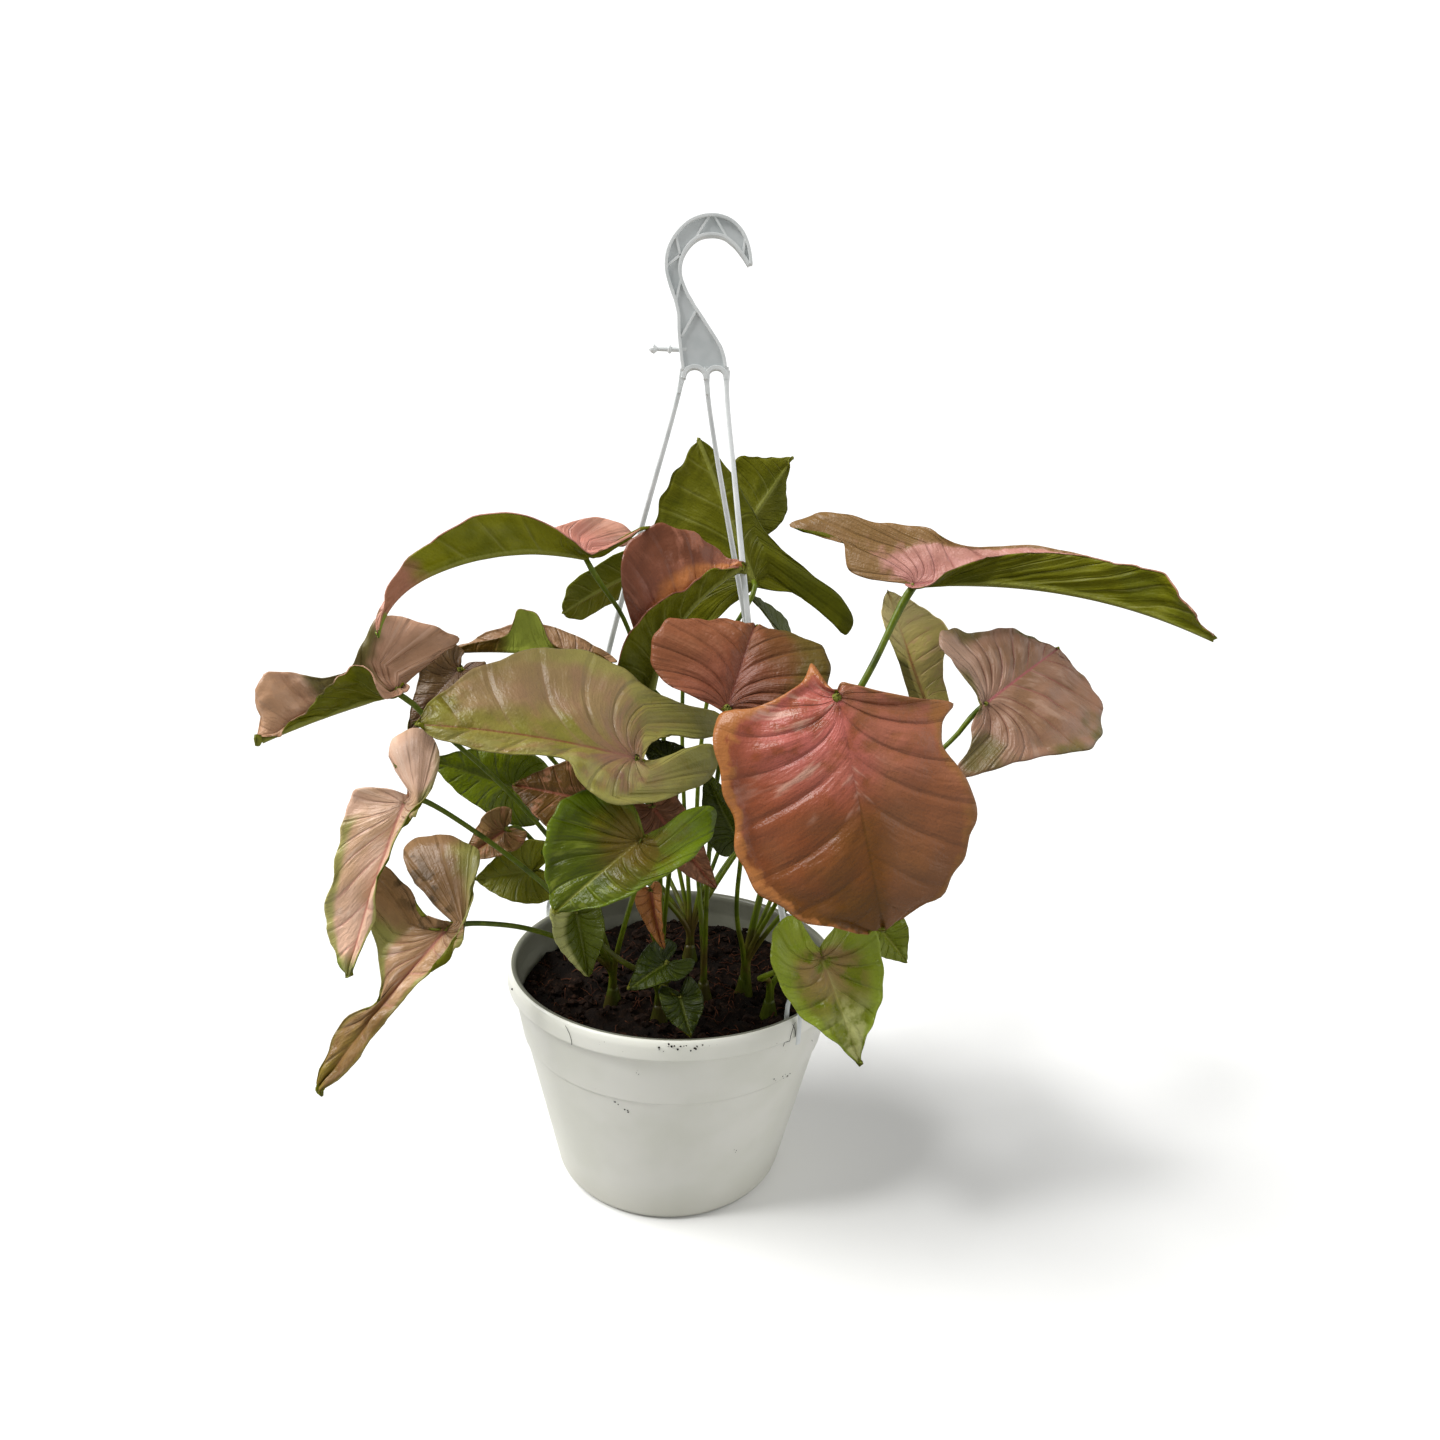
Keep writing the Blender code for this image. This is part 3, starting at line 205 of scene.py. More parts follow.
LEAVES = [
    leaf("leaf_01", 1, (75, -95, 304), (101, -112, 199), (-0.1, -0.95, 0.2), (53, 62), (10, 21),
         halves=FRONT, arch=20, curl_tip=45, fold=(-10, -8, -10, -8), lip=(0, 50),
         wave=(3, 2, 0.5), lead=-1.0, via=((62, -24, 180), (76, -58, 250))),
    leaf("leaf_02", 0, (25, -70, 292), (38, -42, 329), (-0.1, -0.9, 0.35), (46, 49), (22, 22),
         halves=COPPER, arch=10, curl_tip=90, fold=(5, 5, 5, 5), via=((18, -35, 215),)),
    leaf("leaf_03", 2, (-18, -88, 270), (-119, -98, 284), (0.1, -0.6, 0.8), (28, 57), (42, 48),
         halves=PALE, arch=20, fold=(-5, -5, 5, 5), via=((-8, -45, 215),)),
    leaf("leaf_04", 3, (-14, -100, 233), (-51, -116, 202), (0.1, -0.8, 0.6), (24, 37), (37, 10),
         halves=HEART, arch=15, via=((-20, -66, 190),)),
    leaf("leaf_05", 5, (-50, -60, 178), (-43, -64, 143), (0.3, -0.9, 0.3), (14, 16), (8, 8),
         fold=(25, 25, 25, 25), via=((-36, -50, 150),)),
    leaf("leaf_06", 5, (-12, -50, 188), (-4, -54, 156), (-0.2, -0.9, 0.2), (8, 9), (4, 4),
         fold=(30, 30, 30, 30), via=((-8, -42, 160),)),
    leaf("leaf_07", 5, (-2, -54, 148), (-21, -66, 138), (0.0, -0.6, 0.8), (13, 13), (12, 12),
         via=((-2, -46, 132),)),
    leaf("leaf_08", 5, (6, -64, 134), (13, -78, 119), (0.1, -0.7, 0.7), (12, 12), (8, 8),
         via=((2, -54, 126),)),
    leaf("leaf_09", 4, (77, -88, 171), (97, -104, 124), (-0.1, -0.75, 0.6), (30, 25), (16, 25),
         halves=RIGHT_HEART, via=((46, -54, 140), (58, -80, 160))),
    leaf("leaf_10", 4, (112, -45, 170), (128, -50, 152), (0.0, -0.7, 0.7), (14, 14), (8, 8),
         via=((85, -34, 150),)),
    leaf("leaf_11", 1, (162, -32, 293), (210, 0, 321), (0.15, -0.75, 0.6), (46, 52), (10, 36),
         halves=BLUSH, arch=20, fold=(-5, -5, 5, 5), via=((110, -32, 235), (147, -35, 274))),
    leaf("leaf_12", 1, (143, 24, 284), (115, 20, 348), (-0.1, -0.9, 0.3), (14, 26), (8, 10),
         halves=SHIELD, fold=(10, 10, 5, 10), arch=-10, via=((80, 10, 220),)),
    leaf("leaf_13", 1, (127, 5, 353), (246, -90, 337), (0.0, 0.1, 1.0), (45, 24), (84, 5),
         halves=BANNER, arch=30, sway=-36, fold=(72, 60, -20, 62), droop=-26, thick=2.0,
         via=((60, -8, 225), (99, -20, 298))),
    leaf("leaf_14", 0, (38, 42, 350), (2, 52, 431), (0.0, 1.0, 0.1), (48, 55), (50, 14),
         halves=CROWN, arch=-5, via=((8, 10, 210), (14, 34, 300))),
    leaf("leaf_15", 6, (34, 66, 382), (60, 72, 424), (0.0, 1.0, 0.1), (17, 29), (6, 8),
         halves=PENNANT, via=((36, 50, 260),)),
    leaf("leaf_16", 2, (-16, -30, 293), (31, -24, 359), (-0.5, -0.15, 0.85), (45, 24), (6, 8),
         halves=HUMP, arch=55, fold=(66, 76, 72, 60), via=((-12, -16, 225),)),
    leaf("leaf_17", 2, (-52, -28, 362), (-142, -80, 322), (0.0, 0.2, 1.0), (27, 32), (42, 28),
         halves=ARCHED, arch=54, curl_tip=35, fold=(5, 62, 60, 20), ears=(60, 60), droop=0,
         via=((-14, 8, 250), (-30, 4, 322))),
    leaf("leaf_18", 3, (-142, -58, 292), (-195, -92, 271), (0.0, -0.1, 1.0), (23, 38), (6, 36),
         halves=SCARF, arch=10, fold=(-10, 66, 75, 62), ears=(-10, 70), droop=0,
         via=((-50, -34, 185), (-88, -40, 236), (-130, -52, 278))),
    leaf("leaf_19", 2, (-47, -2, 302), (-133, -4, 305), (0.0, 0.1, 1.0), (24, 22), (6, 8),
         halves=TAB, arch=20, fold=(60, 70, 50, 55), via=((-28, 6, 235),)),
    leaf("leaf_20", 3, (-133, -78, 239), (-157, -95, 154), (-0.3, -0.9, 0.3), (18, 28), (35, 10),
         halves=SASH, arch=15, via=((-62, -58, 190),)),
    leaf("leaf_21", 3, (-110, -88, 178), (-170, -105, 98), (-0.3, -0.85, 0.4), (12, 58), (38, 10),
         halves=RIBBON, arch=15, via=((-70, -56, 166),)),
    leaf("leaf_22", 6, (-95, -2, 227), (-141, -14, 245), (0.1, -0.8, 0.5), (22, 22), (18, 18),
         via=((-45, 16, 190),)),
    leaf("leaf_23", 2, (-42, -46, 234), (-88, -40, 240), (0.0, -0.85, 0.5), (24, 22), (14, 14),
         via=((-22, -30, 190),)),
    leaf("leaf_24", 3, (-93, -34, 213), (-115, -38, 196), (0.0, -0.85, 0.5), (13, 13), (8, 8),
         via=((-62, -26, 180),)),
    leaf("leaf_25", 3, (-78, -32, 189), (-109, -40, 185), (0.1, -0.85, 0.5), (19, 17), (12, 12),
         via=((-56, -30, 158),)),
    leaf("leaf_26", 6, (-10, 72, 362), (-78, 50, 325), (0.0, 0.8, 0.5), (18, 18), (10, 10),
         halves=TONGUE, arch=30, via=((-4, 50, 260),)),
    leaf("leaf_27", 6, (64, 94, 304), (37, 68, 339), (0.1, -0.5, 0.8), (17, 19), (14, 14),
         via=((40, 62, 220),)),
    leaf("leaf_28", 6, (-34, 92, 282), (-68, 158, 250), (-0.2, 0.5, 0.8), (32, 32), (28, 28),
         via=((-14, 60, 210),)),
    leaf("leaf_29", 6, (92, 66, 246), (142, 112, 222), (0.4, 0.2, 0.8), (28, 28), (22, 22),
         via=((44, 48, 190),)),
    leaf("leaf_30", 6, (-92, 62, 236), (-142, 96, 210), (-0.4, 0.2, 0.8), (27, 27), (22, 22),
         via=((-40, 48, 185),)),
    leaf("leaf_31", 6, (-40, 98, 198), (-66, 146, 164), (-0.2, 0.4, 0.8), (24, 24), (18, 18),
         via=((-14, 66, 160),)),
    leaf("leaf_32", 6, (66, 92, 206), (98, 142, 176), (0.3, 0.4, 0.8), (24, 24), (18, 18),
         via=((28, 66, 160),)),
    leaf("leaf_33", 2, (-118, -30, 300), (-141, -44, 268), (-0.2, -0.8, 0.5), (17, 17), (10, 10),
         fold=(15, 15, 15, 15), via=((-48, -12, 232), (-92, -18, 282))),
    leaf("leaf_34", 1, (33, -56, 220), (15, -60, 257), (-0.3, -0.9, 0.3), (14, 15), (6, 6),
         via=((34, -26, 165),)),
    leaf("leaf_35", 2, (-10, -78, 243), (23, -62, 195), (-0.1, -0.95, 0.3), (13, 14), (8, 8),
         via=((-8, -26, 180), (-10, -50, 222))),
    leaf("leaf_36", 2, (-1, -56, 260), (-19, -58, 272), (0.0, -0.9, 0.4), (10, 9), (6, 6),
         via=((-2, -26, 210),)),
]

# Where each stalk's bundle stands in the soil
STUBS = ((18, -16), (42, -8), (-8, -6), (-34, -26), (56, -34), (-6, -44), (8, 32))


# The lines that a leaf is built on

def unit(vector):
    """The vector at length one."""
    vector = np.asarray(vector, float)
    return vector / np.linalg.norm(vector)


def turned(vector, axis, angle):
    """A vector turned about a unit axis."""
    c = math.cos(angle)
    s = math.sin(angle)
    return vector * c + np.cross(axis, vector) * s + axis * np.dot(axis, vector) * (1 - c)


def blend(values, t):
    """A smooth curve through the values, with t from 0 to 1 along them."""
    values = np.asarray(values, float)
    last = len(values) - 1
    u = np.clip(np.asarray(t, float), 0, 1) * last
    i = np.minimum(u.astype(int), last - 1)
    f = u - i
    p0 = values[np.maximum(i - 1, 0)]
    p1 = values[i]
    p2 = values[i + 1]
    p3 = values[np.minimum(i + 2, last)]
    if values.ndim > 1:
        f = f[..., None]
    return 0.5 * (2 * p1 + (p2 - p0) * f + (2 * p0 - 5 * p1 + 4 * p2 - p3) * f ** 2
                  + (3 * p1 - 3 * p2 + p3 - p0) * f ** 3)


def spine(row):
    """The midrib as a bent line: its length, and a frame at steps behind and before the joint."""
    steps = 48
    lobe_steps = 12
    arch = math.radians(row["arch"]) / steps
    sway = math.radians(row["sway"]) / steps
    point = np.zeros(3)
    along = np.array([0.0, 1.0, 0.0])
    up = np.array([0.0, 0.0, 1.0])
    fore = [(0.0, point, along, up)]
    for k in range(steps):
        late = max(0.0, (k + 0.5) / steps - CURL_START) * CURL_WEIGHT
        side = np.cross(along, up)
        bend = -(arch + math.radians(row["curl_tip"]) * late / steps)
        along = turned(along, side, bend)
        up = turned(up, side, bend)
        along = turned(along, up, sway)
        point = point + along / steps
        fore.append(((k + 1) / steps, point, along, up))
    # It is scaled and turned so that its chord joins the joint to the tip, with its face where the row says
    chord = fore[-1][1]
    gap = np.asarray(row["tip"], float) - np.asarray(row["joint"], float)
    length = np.linalg.norm(gap) / np.linalg.norm(chord)
    low1 = unit(chord)
    low2 = unit(fore[steps // 2][3] - low1 * np.dot(fore[steps // 2][3], low1))
    high1 = unit(gap)
    face = np.asarray(row["face"], float)
    high2 = unit(face - high1 * np.dot(face, high1))
    low = np.stack([low1, low2, np.cross(low1, low2)])
    high = np.stack([high1, high2, np.cross(high1, high2)])
    spin = high.T @ low
    # Behind the joint the line goes on under the lobes, a little past their ends
    back = []
    reach = max(row["lobe"]) * 1.1 + 5
    sink = math.radians(row["droop"]) / lobe_steps
    point = np.zeros(3)
    along = np.array([0.0, 1.0, 0.0])
    up = np.array([0.0, 0.0, 1.0])
    side = np.cross(along, up)
    for k in range(lobe_steps):
        along = turned(along, side, sink)
        up = turned(up, side, sink)
        point = point - along * reach / lobe_steps
        back.append((-(k + 1) * reach / lobe_steps, point, along, up))
    line = back[::-1] + [(t * length, p * length, a, u) for t, p, a, u in fore]
    table = [np.array([item[0] for item in line])]
    for j in (1, 2, 3):
        table.append(np.array([spin @ item[j] for item in line]))
    return length, table


def half_edge(row, k, length):
    """The edge of one half as points across and along, from the notch to the tip."""
    if row["halves"]:
        edge = np.array(row["halves"][k], float)
        edge[:, 1] = np.where(edge[:, 1] > 0, edge[:, 1] * length / edge[-1, 1], edge[:, 1])
        return edge
    edge = []
    for across, share in EDGE:
        along = share * (row["lobe"][k] if share < 0 else length)
        out = across * row["width"][k]
        if share < 0:
            out += LOBE_SPREAD * row["lobe"][k] * -share * min(1.0, across * 3)
        edge.append((out, along))
    return np.array(edge)


def feet(row, length):
    """Where along the midrib the lines to the edge start, alike for both halves."""
    t = np.linspace(0, 1, 49)
    both = []
    for k in (0, 1):
        rim = blend(half_edge(row, k, length), t)
        both.append(rim[:, 1] - LINE_LEAN * rim[:, 0])
    root = np.maximum.accumulate(np.clip((both[0] + both[1]) / 2, 0, None))
    root = np.minimum(root, length * (0.2 + 0.8 * t))
    root[-1] = length
    return t, root


def relaxed(row, k, length):
    """One half laid flat as a grid, first round its edge and then outward, evened out so none overlaps."""
    edge = half_edge(row, k, length)
    steps = np.linspace(0, 1, 4 * (len(edge) - 1) + 1)
    foot = np.interp(steps, *feet(row, length))
    foot = np.stack([np.zeros_like(foot), foot], 1)
    share = np.linspace(0, 1, 13)[None, :, None]
    grid = foot[:, None] * (1 - share) + blend(edge, steps)[:, None] * share
    for turn in range(1600):
        fore = (grid[2:, 1:-1] - grid[:-2, 1:-1]) / 2
        side = (grid[1:-1, 2:] - grid[1:-1, :-2]) / 2
        one = np.ones(fore.shape[:2] + (1,))
        two = one
        both = 0 * one
        # The first turns only even the grid out, and the later ones also keep its lines from crossing
        if turn > 200:
            one = (side ** 2).sum(2, keepdims=True) + 1e-4
            two = (fore ** 2).sum(2, keepdims=True) + 1e-4
            both = (fore * side).sum(2, keepdims=True)
        cross = grid[2:, 2:] - grid[:-2, 2:] - grid[2:, :-2] + grid[:-2, :-2]
        want = one * (grid[2:, 1:-1] + grid[:-2, 1:-1]) + two * (grid[1:-1, 2:] + grid[1:-1, :-2])
        want = (want - 0.5 * both * cross) / (2 * (one + two))
        grid[1:-1, 1:-1] += 0.7 * (want - grid[1:-1, 1:-1])
    return grid


def flat_places(grid, a, v):
    """Points across and along at shares of the way round the edge and outward on a flat grid."""
    u = np.clip(a, 0, 1) * (grid.shape[0] - 1)
    w = np.clip(v, 0, 1) * (grid.shape[1] - 1)
    i = np.minimum(u.astype(int), grid.shape[0] - 2)
    j = np.minimum(w.astype(int), grid.shape[1] - 2)
    u = (u - i)[:, None]
    w = (w - j)[:, None]
    near = grid[i, j] * (1 - w) + grid[i, j + 1] * w
    far = grid[i + 1, j] * (1 - w) + grid[i + 1, j + 1] * w
    both = near * (1 - u) + far * u
    return both[:, 0], both[:, 1]


def blade_points(row, side, a, v, across, along):
    """Flat places of one half set in space: a runs round the edge, v from the midrib outward."""
    length, table = spine(row)
    k = 0 if side < 0 else 1
    share = np.clip(across / row["width"][k], 0, 1.2)
    low, high = row["fold"][2 * k:2 * k + 2]
    fold = low + (high - low) * np.clip(along / length * 4, 0, 1)
    if row["ears"]:
        fold += (row["ears"][k] - low) * np.clip(-along / row["lobe"][k] * 1.6, 0, 1)
    # The tip lies flatter than the rest
    fold *= 1 - 0.6 * np.clip((along / length - 0.82) / 0.15, 0, 1)
    out = np.zeros_like(across)
    rise = np.zeros_like(across)
    for j in range(16):
        u = share * (j + 0.5) / 16
        angle = np.radians(fold + row["lip"][k] * np.clip((u - 0.8) / 0.2, 0, 1))
        out += np.cos(angle) * across / 16
        rise += np.sin(angle) * across / 16
    tall, count, start = row["wave"]
    fade = np.clip(np.sin(np.pi * a), 0, 1) ** 0.5
    rise += tall * v ** 2 * fade * np.sin(2 * np.pi * count * a + start + side * 1.1)
    place = [np.stack([np.interp(along, table[0], table[j][:, i]) for i in range(3)], 1) for j in (1, 2, 3)]
    lateral = np.cross(place[1], place[2])
    points = place[0] + lateral * (side * out)[:, None] + place[2] * rise[:, None]
    return points + np.asarray(row["joint"], float)


def rounded(points, rings):
    """A line with its corners cut round, as evenly spaced points."""
    line = np.asarray(points, float)
    for _ in range(3):
        near = line[:-1] * 0.75 + line[1:] * 0.25
        far = line[:-1] * 0.25 + line[1:] * 0.75
        line = np.concatenate([line[:1], np.stack([near, far], 1).reshape(-1, 3), line[-1:]])
    step = np.linalg.norm(np.diff(line, axis=0), axis=1)
    run = np.concatenate([[0], np.cumsum(step)])
    want = np.linspace(0, run[-1], rings)
    return np.stack([np.interp(want, run, line[:, i]) for i in range(3)], 1)


# Materials

def linear(text):
    """A hex colour as linear values."""
    out = []
    for i in (0, 2, 4):
        c = int(text[i:i + 2], 16) / 255.0
        out.append(c / 12.92 if c <= 0.04045 else ((c + 0.055) / 1.055) ** 2.4)
    return (out[0], out[1], out[2], 1.0)


def add(tree, kind, settings, links=None):
    """A node with its settings and its links; whole numbers name its sockets by place."""
    node = tree.nodes.new("ShaderNode" + kind)
    for key, value in settings.items():
        if isinstance(key, int) or key in node.inputs:
            node.inputs[key].default_value = value
        else:
            setattr(node, key, value)
    for key, source in (links or {}).items():
        if isinstance(source, bpy.types.Node):
            source = next(socket for socket in source.outputs if socket.enabled)
        tree.links.new(source, node.inputs[key])
    return node


def new_material(name, rough):
    """A material with its tree and its shader, at one plain roughness."""
    mat = bpy.data.materials.new(name)
    mat.use_nodes = True
    shader = mat.node_tree.nodes["Principled BSDF"]
    shader.inputs["Roughness"].default_value = rough
    return mat, mat.node_tree, shader


def paint(tree, base, layers, values):
    """Colours laid over each other, each kept to where its ranges of the values meet."""
    colour = add(tree, "RGB", {})
    colour.outputs[0].default_value = linear(base)
    for tint, strength, *ranges in layers:
        mask = None
        for kind, low, high in ranges:
            step = add(tree, "MapRange", {"interpolation_type": "SMOOTHSTEP", 1: low, 2: high},
                       {0: values[kind]})
            if mask:
                step = add(tree, "Math", {"operation": "MULTIPLY"}, {0: mask, 1: step})
            mask = step
        mask = add(tree, "Math", {"operation": "MULTIPLY", 1: strength}, {0: mask})
        colour = add(tree, "Mix", {"data_type": "RGBA", 7: linear(tint)}, {0: mask, 6: colour})
    return colour


def dressed(mat, colour, relief=None, gloss=None):
    """The material with its colour, its relief as height, strength and depth in metres, and its gloss as a
    value and the roughness at its low and high ends."""
    tree = mat.node_tree
    shader = tree.nodes["Principled BSDF"]
    tree.links.new(colour.outputs[2], shader.inputs["Base Color"])
    if relief:
        height, strength, depth = relief
        bump = add(tree, "Bump", {"Strength": strength, "Distance": depth}, {"Height": height})
        tree.links.new(bump.outputs[0], shader.inputs["Normal"])
    if gloss:
        value, low, high = gloss
        rough = add(tree, "MapRange", {1: 0.3, 2: 0.7, 3: low, 4: high}, {0: value})
        tree.links.new(rough.outputs[0], shader.inputs["Roughness"])
    return mat


def leaf_skin(name, seed, base, layers, rough=0.36, veins=VEINS, sheen=0.3):
    """Fresh aroid leaf skin, grown and waxy: satin gloss, sunken side veins, fine ripples along them."""
    mat, tree, shader = new_material(name, rough)
    lay = add(tree, "SeparateXYZ", {}, {0: add(tree, "UVMap", {"uv_map": "lay"})})
    flat = add(tree, "UVMap", {"uv_map": "flat"})
    # The grains' sizes are in millimetres
    values = {}
    for kind, grain, detail in (("wide", 24, 2), ("mid", 8, 3), ("fine", 1.3, 2)):
        values[kind] = add(tree, "TexNoise", {"noise_dimensions": "4D", "W": seed, "Detail": detail,
                                              "Scale": FLAT_UNIT / grain}, {"Vector": flat})
    warp = add(tree, "Math", {"operation": "MULTIPLY_ADD", 1: 0.2, 2: -0.1}, {0: values["mid"]})
    sway = add(tree, "Math", {"operation": "MULTIPLY_ADD", 1: 0.4, 2: -0.2}, {0: values["wide"]})
    size = add(tree, "Math", {"operation": "ABSOLUTE"}, {0: lay.outputs[1]})
    for kind, even, shift in (("out", size, warp), ("side", lay.outputs[1], warp),
                              ("run", lay.outputs[0], sway)):
        values[kind] = add(tree, "Math", {"operation": "ADD"}, {0: even, 1: shift})
    # Side veins leave the midrib at even steps and bend towards the tip on their way out
    bent = add(tree, "Math", {"operation": "MULTIPLY_ADD", 1: -VEIN_BEND}, {0: size, 2: lay.outputs[0]})
    tally = add(tree, "Math", {"operation": "MULTIPLY", 1: float(veins)}, {0: bent})
    values["vein"] = add(tree, "Math", {"operation": "PINGPONG", 1: 0.5}, {0: tally})
    # The midrib stops at the joint, and its line narrows towards the tip
    split = add(tree, "SeparateXYZ", {}, {0: flat})
    behind = add(tree, "Math", {"operation": "MULTIPLY", 1: -1.0}, {0: split.outputs[1]})
    behind = add(tree, "Math", {"operation": "MAXIMUM", 1: 0.0}, {0: behind})
    away = add(tree, "Math", {"operation": "ABSOLUTE"}, {0: split.outputs[0]})
    away = add(tree, "Math", {"operation": "MULTIPLY_ADD", 1: 0.008}, {0: lay.outputs[0], 2: away})
    values["rib"] = add(tree, "Math", {"operation": "ADD"}, {0: away, 1: behind})
    reach = add(tree, "VectorMath", {"operation": "LENGTH"}, {0: flat})
    values["near"] = add(tree, "Math", {"operation": "ADD"}, {0: reach.outputs["Value"], 1: warp})
    # Streaks and threads are brushed along the side veins, so many to the step from one vein to the next
    for kind, along, across in (("streak", 1.6, 1.8), ("thread", 4.0, 2.2)):
        fast = add(tree, "Math", {"operation": "MULTIPLY", 1: along}, {0: tally})
        slow = add(tree, "Math", {"operation": "MULTIPLY", 1: across}, {0: size})
        brush = add(tree, "CombineXYZ", {2: float(seed)}, {0: fast, 1: slow})
        values[kind] = add(tree, "TexNoise", {"Scale": 1.5, "Detail": 3.0}, {"Vector": brush})
    # Vein grooves, shallow near the midrib, and ripples, dimples and cells make one height
    depth = add(tree, "MapRange", {1: 0.05, 2: 0.4, 3: 0.0, 4: 0.9}, {0: size})
    height = add(tree, "MapRange", {1: 0.0, 2: 0.1, 3: 0.0}, {0: values["vein"], 4: depth})
    for kind, share in (("thread", 1.2), ("mid", 1.4), ("fine", 0.4)):
        height = add(tree, "Math", {"operation": "MULTIPLY_ADD", 1: share}, {0: values[kind], 2: height})
    shader.inputs["IOR"].default_value = 1.45
    shader.inputs["Specular IOR Level"].default_value = sheen
    return dressed(mat, paint(tree, base, layers, values), (height, 0.8, 0.0008),
                   (values["mid"], rough - 0.08, rough + 0.12))


def ground_values(tree, sizes):
    """The place on the object, with its height and the noise of each named grain, all in millimetres."""
    place = add(tree, "TexCoord", {}).outputs["Object"]
    split = add(tree, "SeparateXYZ", {}, {0: place})
    values = {"tall": add(tree, "Math", {"operation": "MULTIPLY", 1: 1000.0}, {0: split.outputs[2]})}
    for kind, grain in sizes.items():
        values[kind] = add(tree, "TexNoise", {"Scale": 1000 / grain, "Detail": 3.0}, {"Vector": place})
    return place, values


def pot_plastic(name, base, cloud):
    """Polypropylene, injection moulded: satin, faint flow clouds, fine scuffs, soil dust at the lip."""
    mat, tree, shader = new_material(name, 0.34)
    place, values = ground_values(tree, {"cloud": 40, "dust": 2.4, "scuff": 0.9, "patch": 26})
    stretch = add(tree, "Mapping", {"Scale": (1, 1, 14)}, {"Vector": place})
    values["ring"] = add(tree, "TexNoise", {"Scale": 1000 / 90, "Detail": 2.0}, {"Vector": stretch})
    layers = (
        (cloud, 0.8, ("cloud", 0.35, 0.7)),
        (cloud, 0.5, ("tall", 112, 127)),
        ("6E6458", 0.5, ("dust", 0.70, 0.74), ("patch", 0.52, 0.62), ("tall", 70, 120)),
        ("D6D4C4", 0.5, ("tall", 30, 0)),
    )
    height = add(tree, "Math", {"operation": "ADD"}, {0: values["ring"], 1: values["scuff"]})
    shader.inputs["IOR"].default_value = 1.49
    shader.inputs["Subsurface Weight"].default_value = 0.1
    shader.inputs["Subsurface Radius"].default_value = (0.006, 0.006, 0.005)
    return dressed(mat, paint(tree, base, layers, values), (height, 0.25, 0.0002),
                   (values["scuff"], 0.28, 0.42))


def hanger_plastic(name, base, dark):
    """Polypropylene, injection moulded in a thin grey-white: smooth and a little glossy, with flow marks."""
    mat, tree, shader = new_material(name, 0.32)
    values = ground_values(tree, {"cloud": 16})[1]
    shader.inputs["IOR"].default_value = 1.49
    colour = paint(tree, base, ((dark, 0.6, ("cloud", 0.45, 0.65)),), values)
    return dressed(mat, colour, gloss=(values["cloud"], 0.26, 0.4))


def peat(name, base, pale):
    """Peat and coir potting mix, moist and crumbled: near-black crumbs with rusty fibre dust, no gloss."""
    mat, tree, shader = new_material(name, 0.85)
    shader.inputs["Specular IOR Level"].default_value = 0.1
    values = ground_values(tree, {"crumb": 3.5, "grit": 1.1, "patch": 24})[1]
    layers = ((pale, 0.8, ("crumb", 0.5, 0.68)), ("0A0603", 0.8, ("patch", 0.48, 0.6)),
              ("4A2E1E", 0.6, ("grit", 0.64, 0.7)))
    height = add(tree, "Math", {"operation": "MULTIPLY_ADD", 1: 0.4},
                 {0: values["grit"], 2: values["crumb"]})
    return dressed(mat, paint(tree, base, layers, values), (height, 0.9, 0.0014))


def stalk_skin():
    """Fresh leaf stalk, grown and fleshy: satin green, paler streaks, pinkish brown at its sheath, and
    painted shade darkening it just above the soil.
    """
    mat, tree, shader = new_material("leaf stalk skin, fresh green", 0.34)
    place, values = ground_values(tree, {"patch": 14, "fine": 1.2})
    stretch = add(tree, "Mapping", {"Scale": (1, 1, 0.08)}, {"Vector": place})
    values["streak"] = add(tree, "TexNoise", {"Scale": 1000 / 1.4, "Detail": 2.0}, {"Vector": stretch})
    # The last layer, near-black towards the soil, is painted shade under the crowded leaves
    layers = (("6A7420", 0.8, ("streak", 0.45, 0.65)), ("34420A", 0.7, ("patch", 0.52, 0.66)),
              ("5E4026", 0.7, ("tall", 165, 125), ("patch", 0.4, 0.58)), ("262C08", 0.7,
                    ("tall", 135, 112)))
    shader.inputs["Specular IOR Level"].default_value = 0.2
    return dressed(mat, paint(tree, "5A6A0E", layers, values), (values["streak"], 0.4, 0.0003),
                   (values["fine"], 0.26, 0.44))


# Meshes

def piece(name, bm, materials, node, smooth=True):
    """A mesh in millimetres as a finished object in metres, riding on the part in place of a node."""
    bmesh.ops.scale(bm, vec=(0.001, 0.001, 0.001), verts=bm.verts)
    mesh = bpy.data.meshes.new(name)
    for face in bm.faces:
        face.smooth = smooth
    bm.to_mesh(mesh)
    bm.free()
    for mat in materials:
        mesh.materials.append(mat)
    obj = bpy.data.objects.new(name, mesh)
    bpy.context.scene.collection.objects.link(obj)
    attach(obj, "root")
    if node:
        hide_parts(node)
    return obj


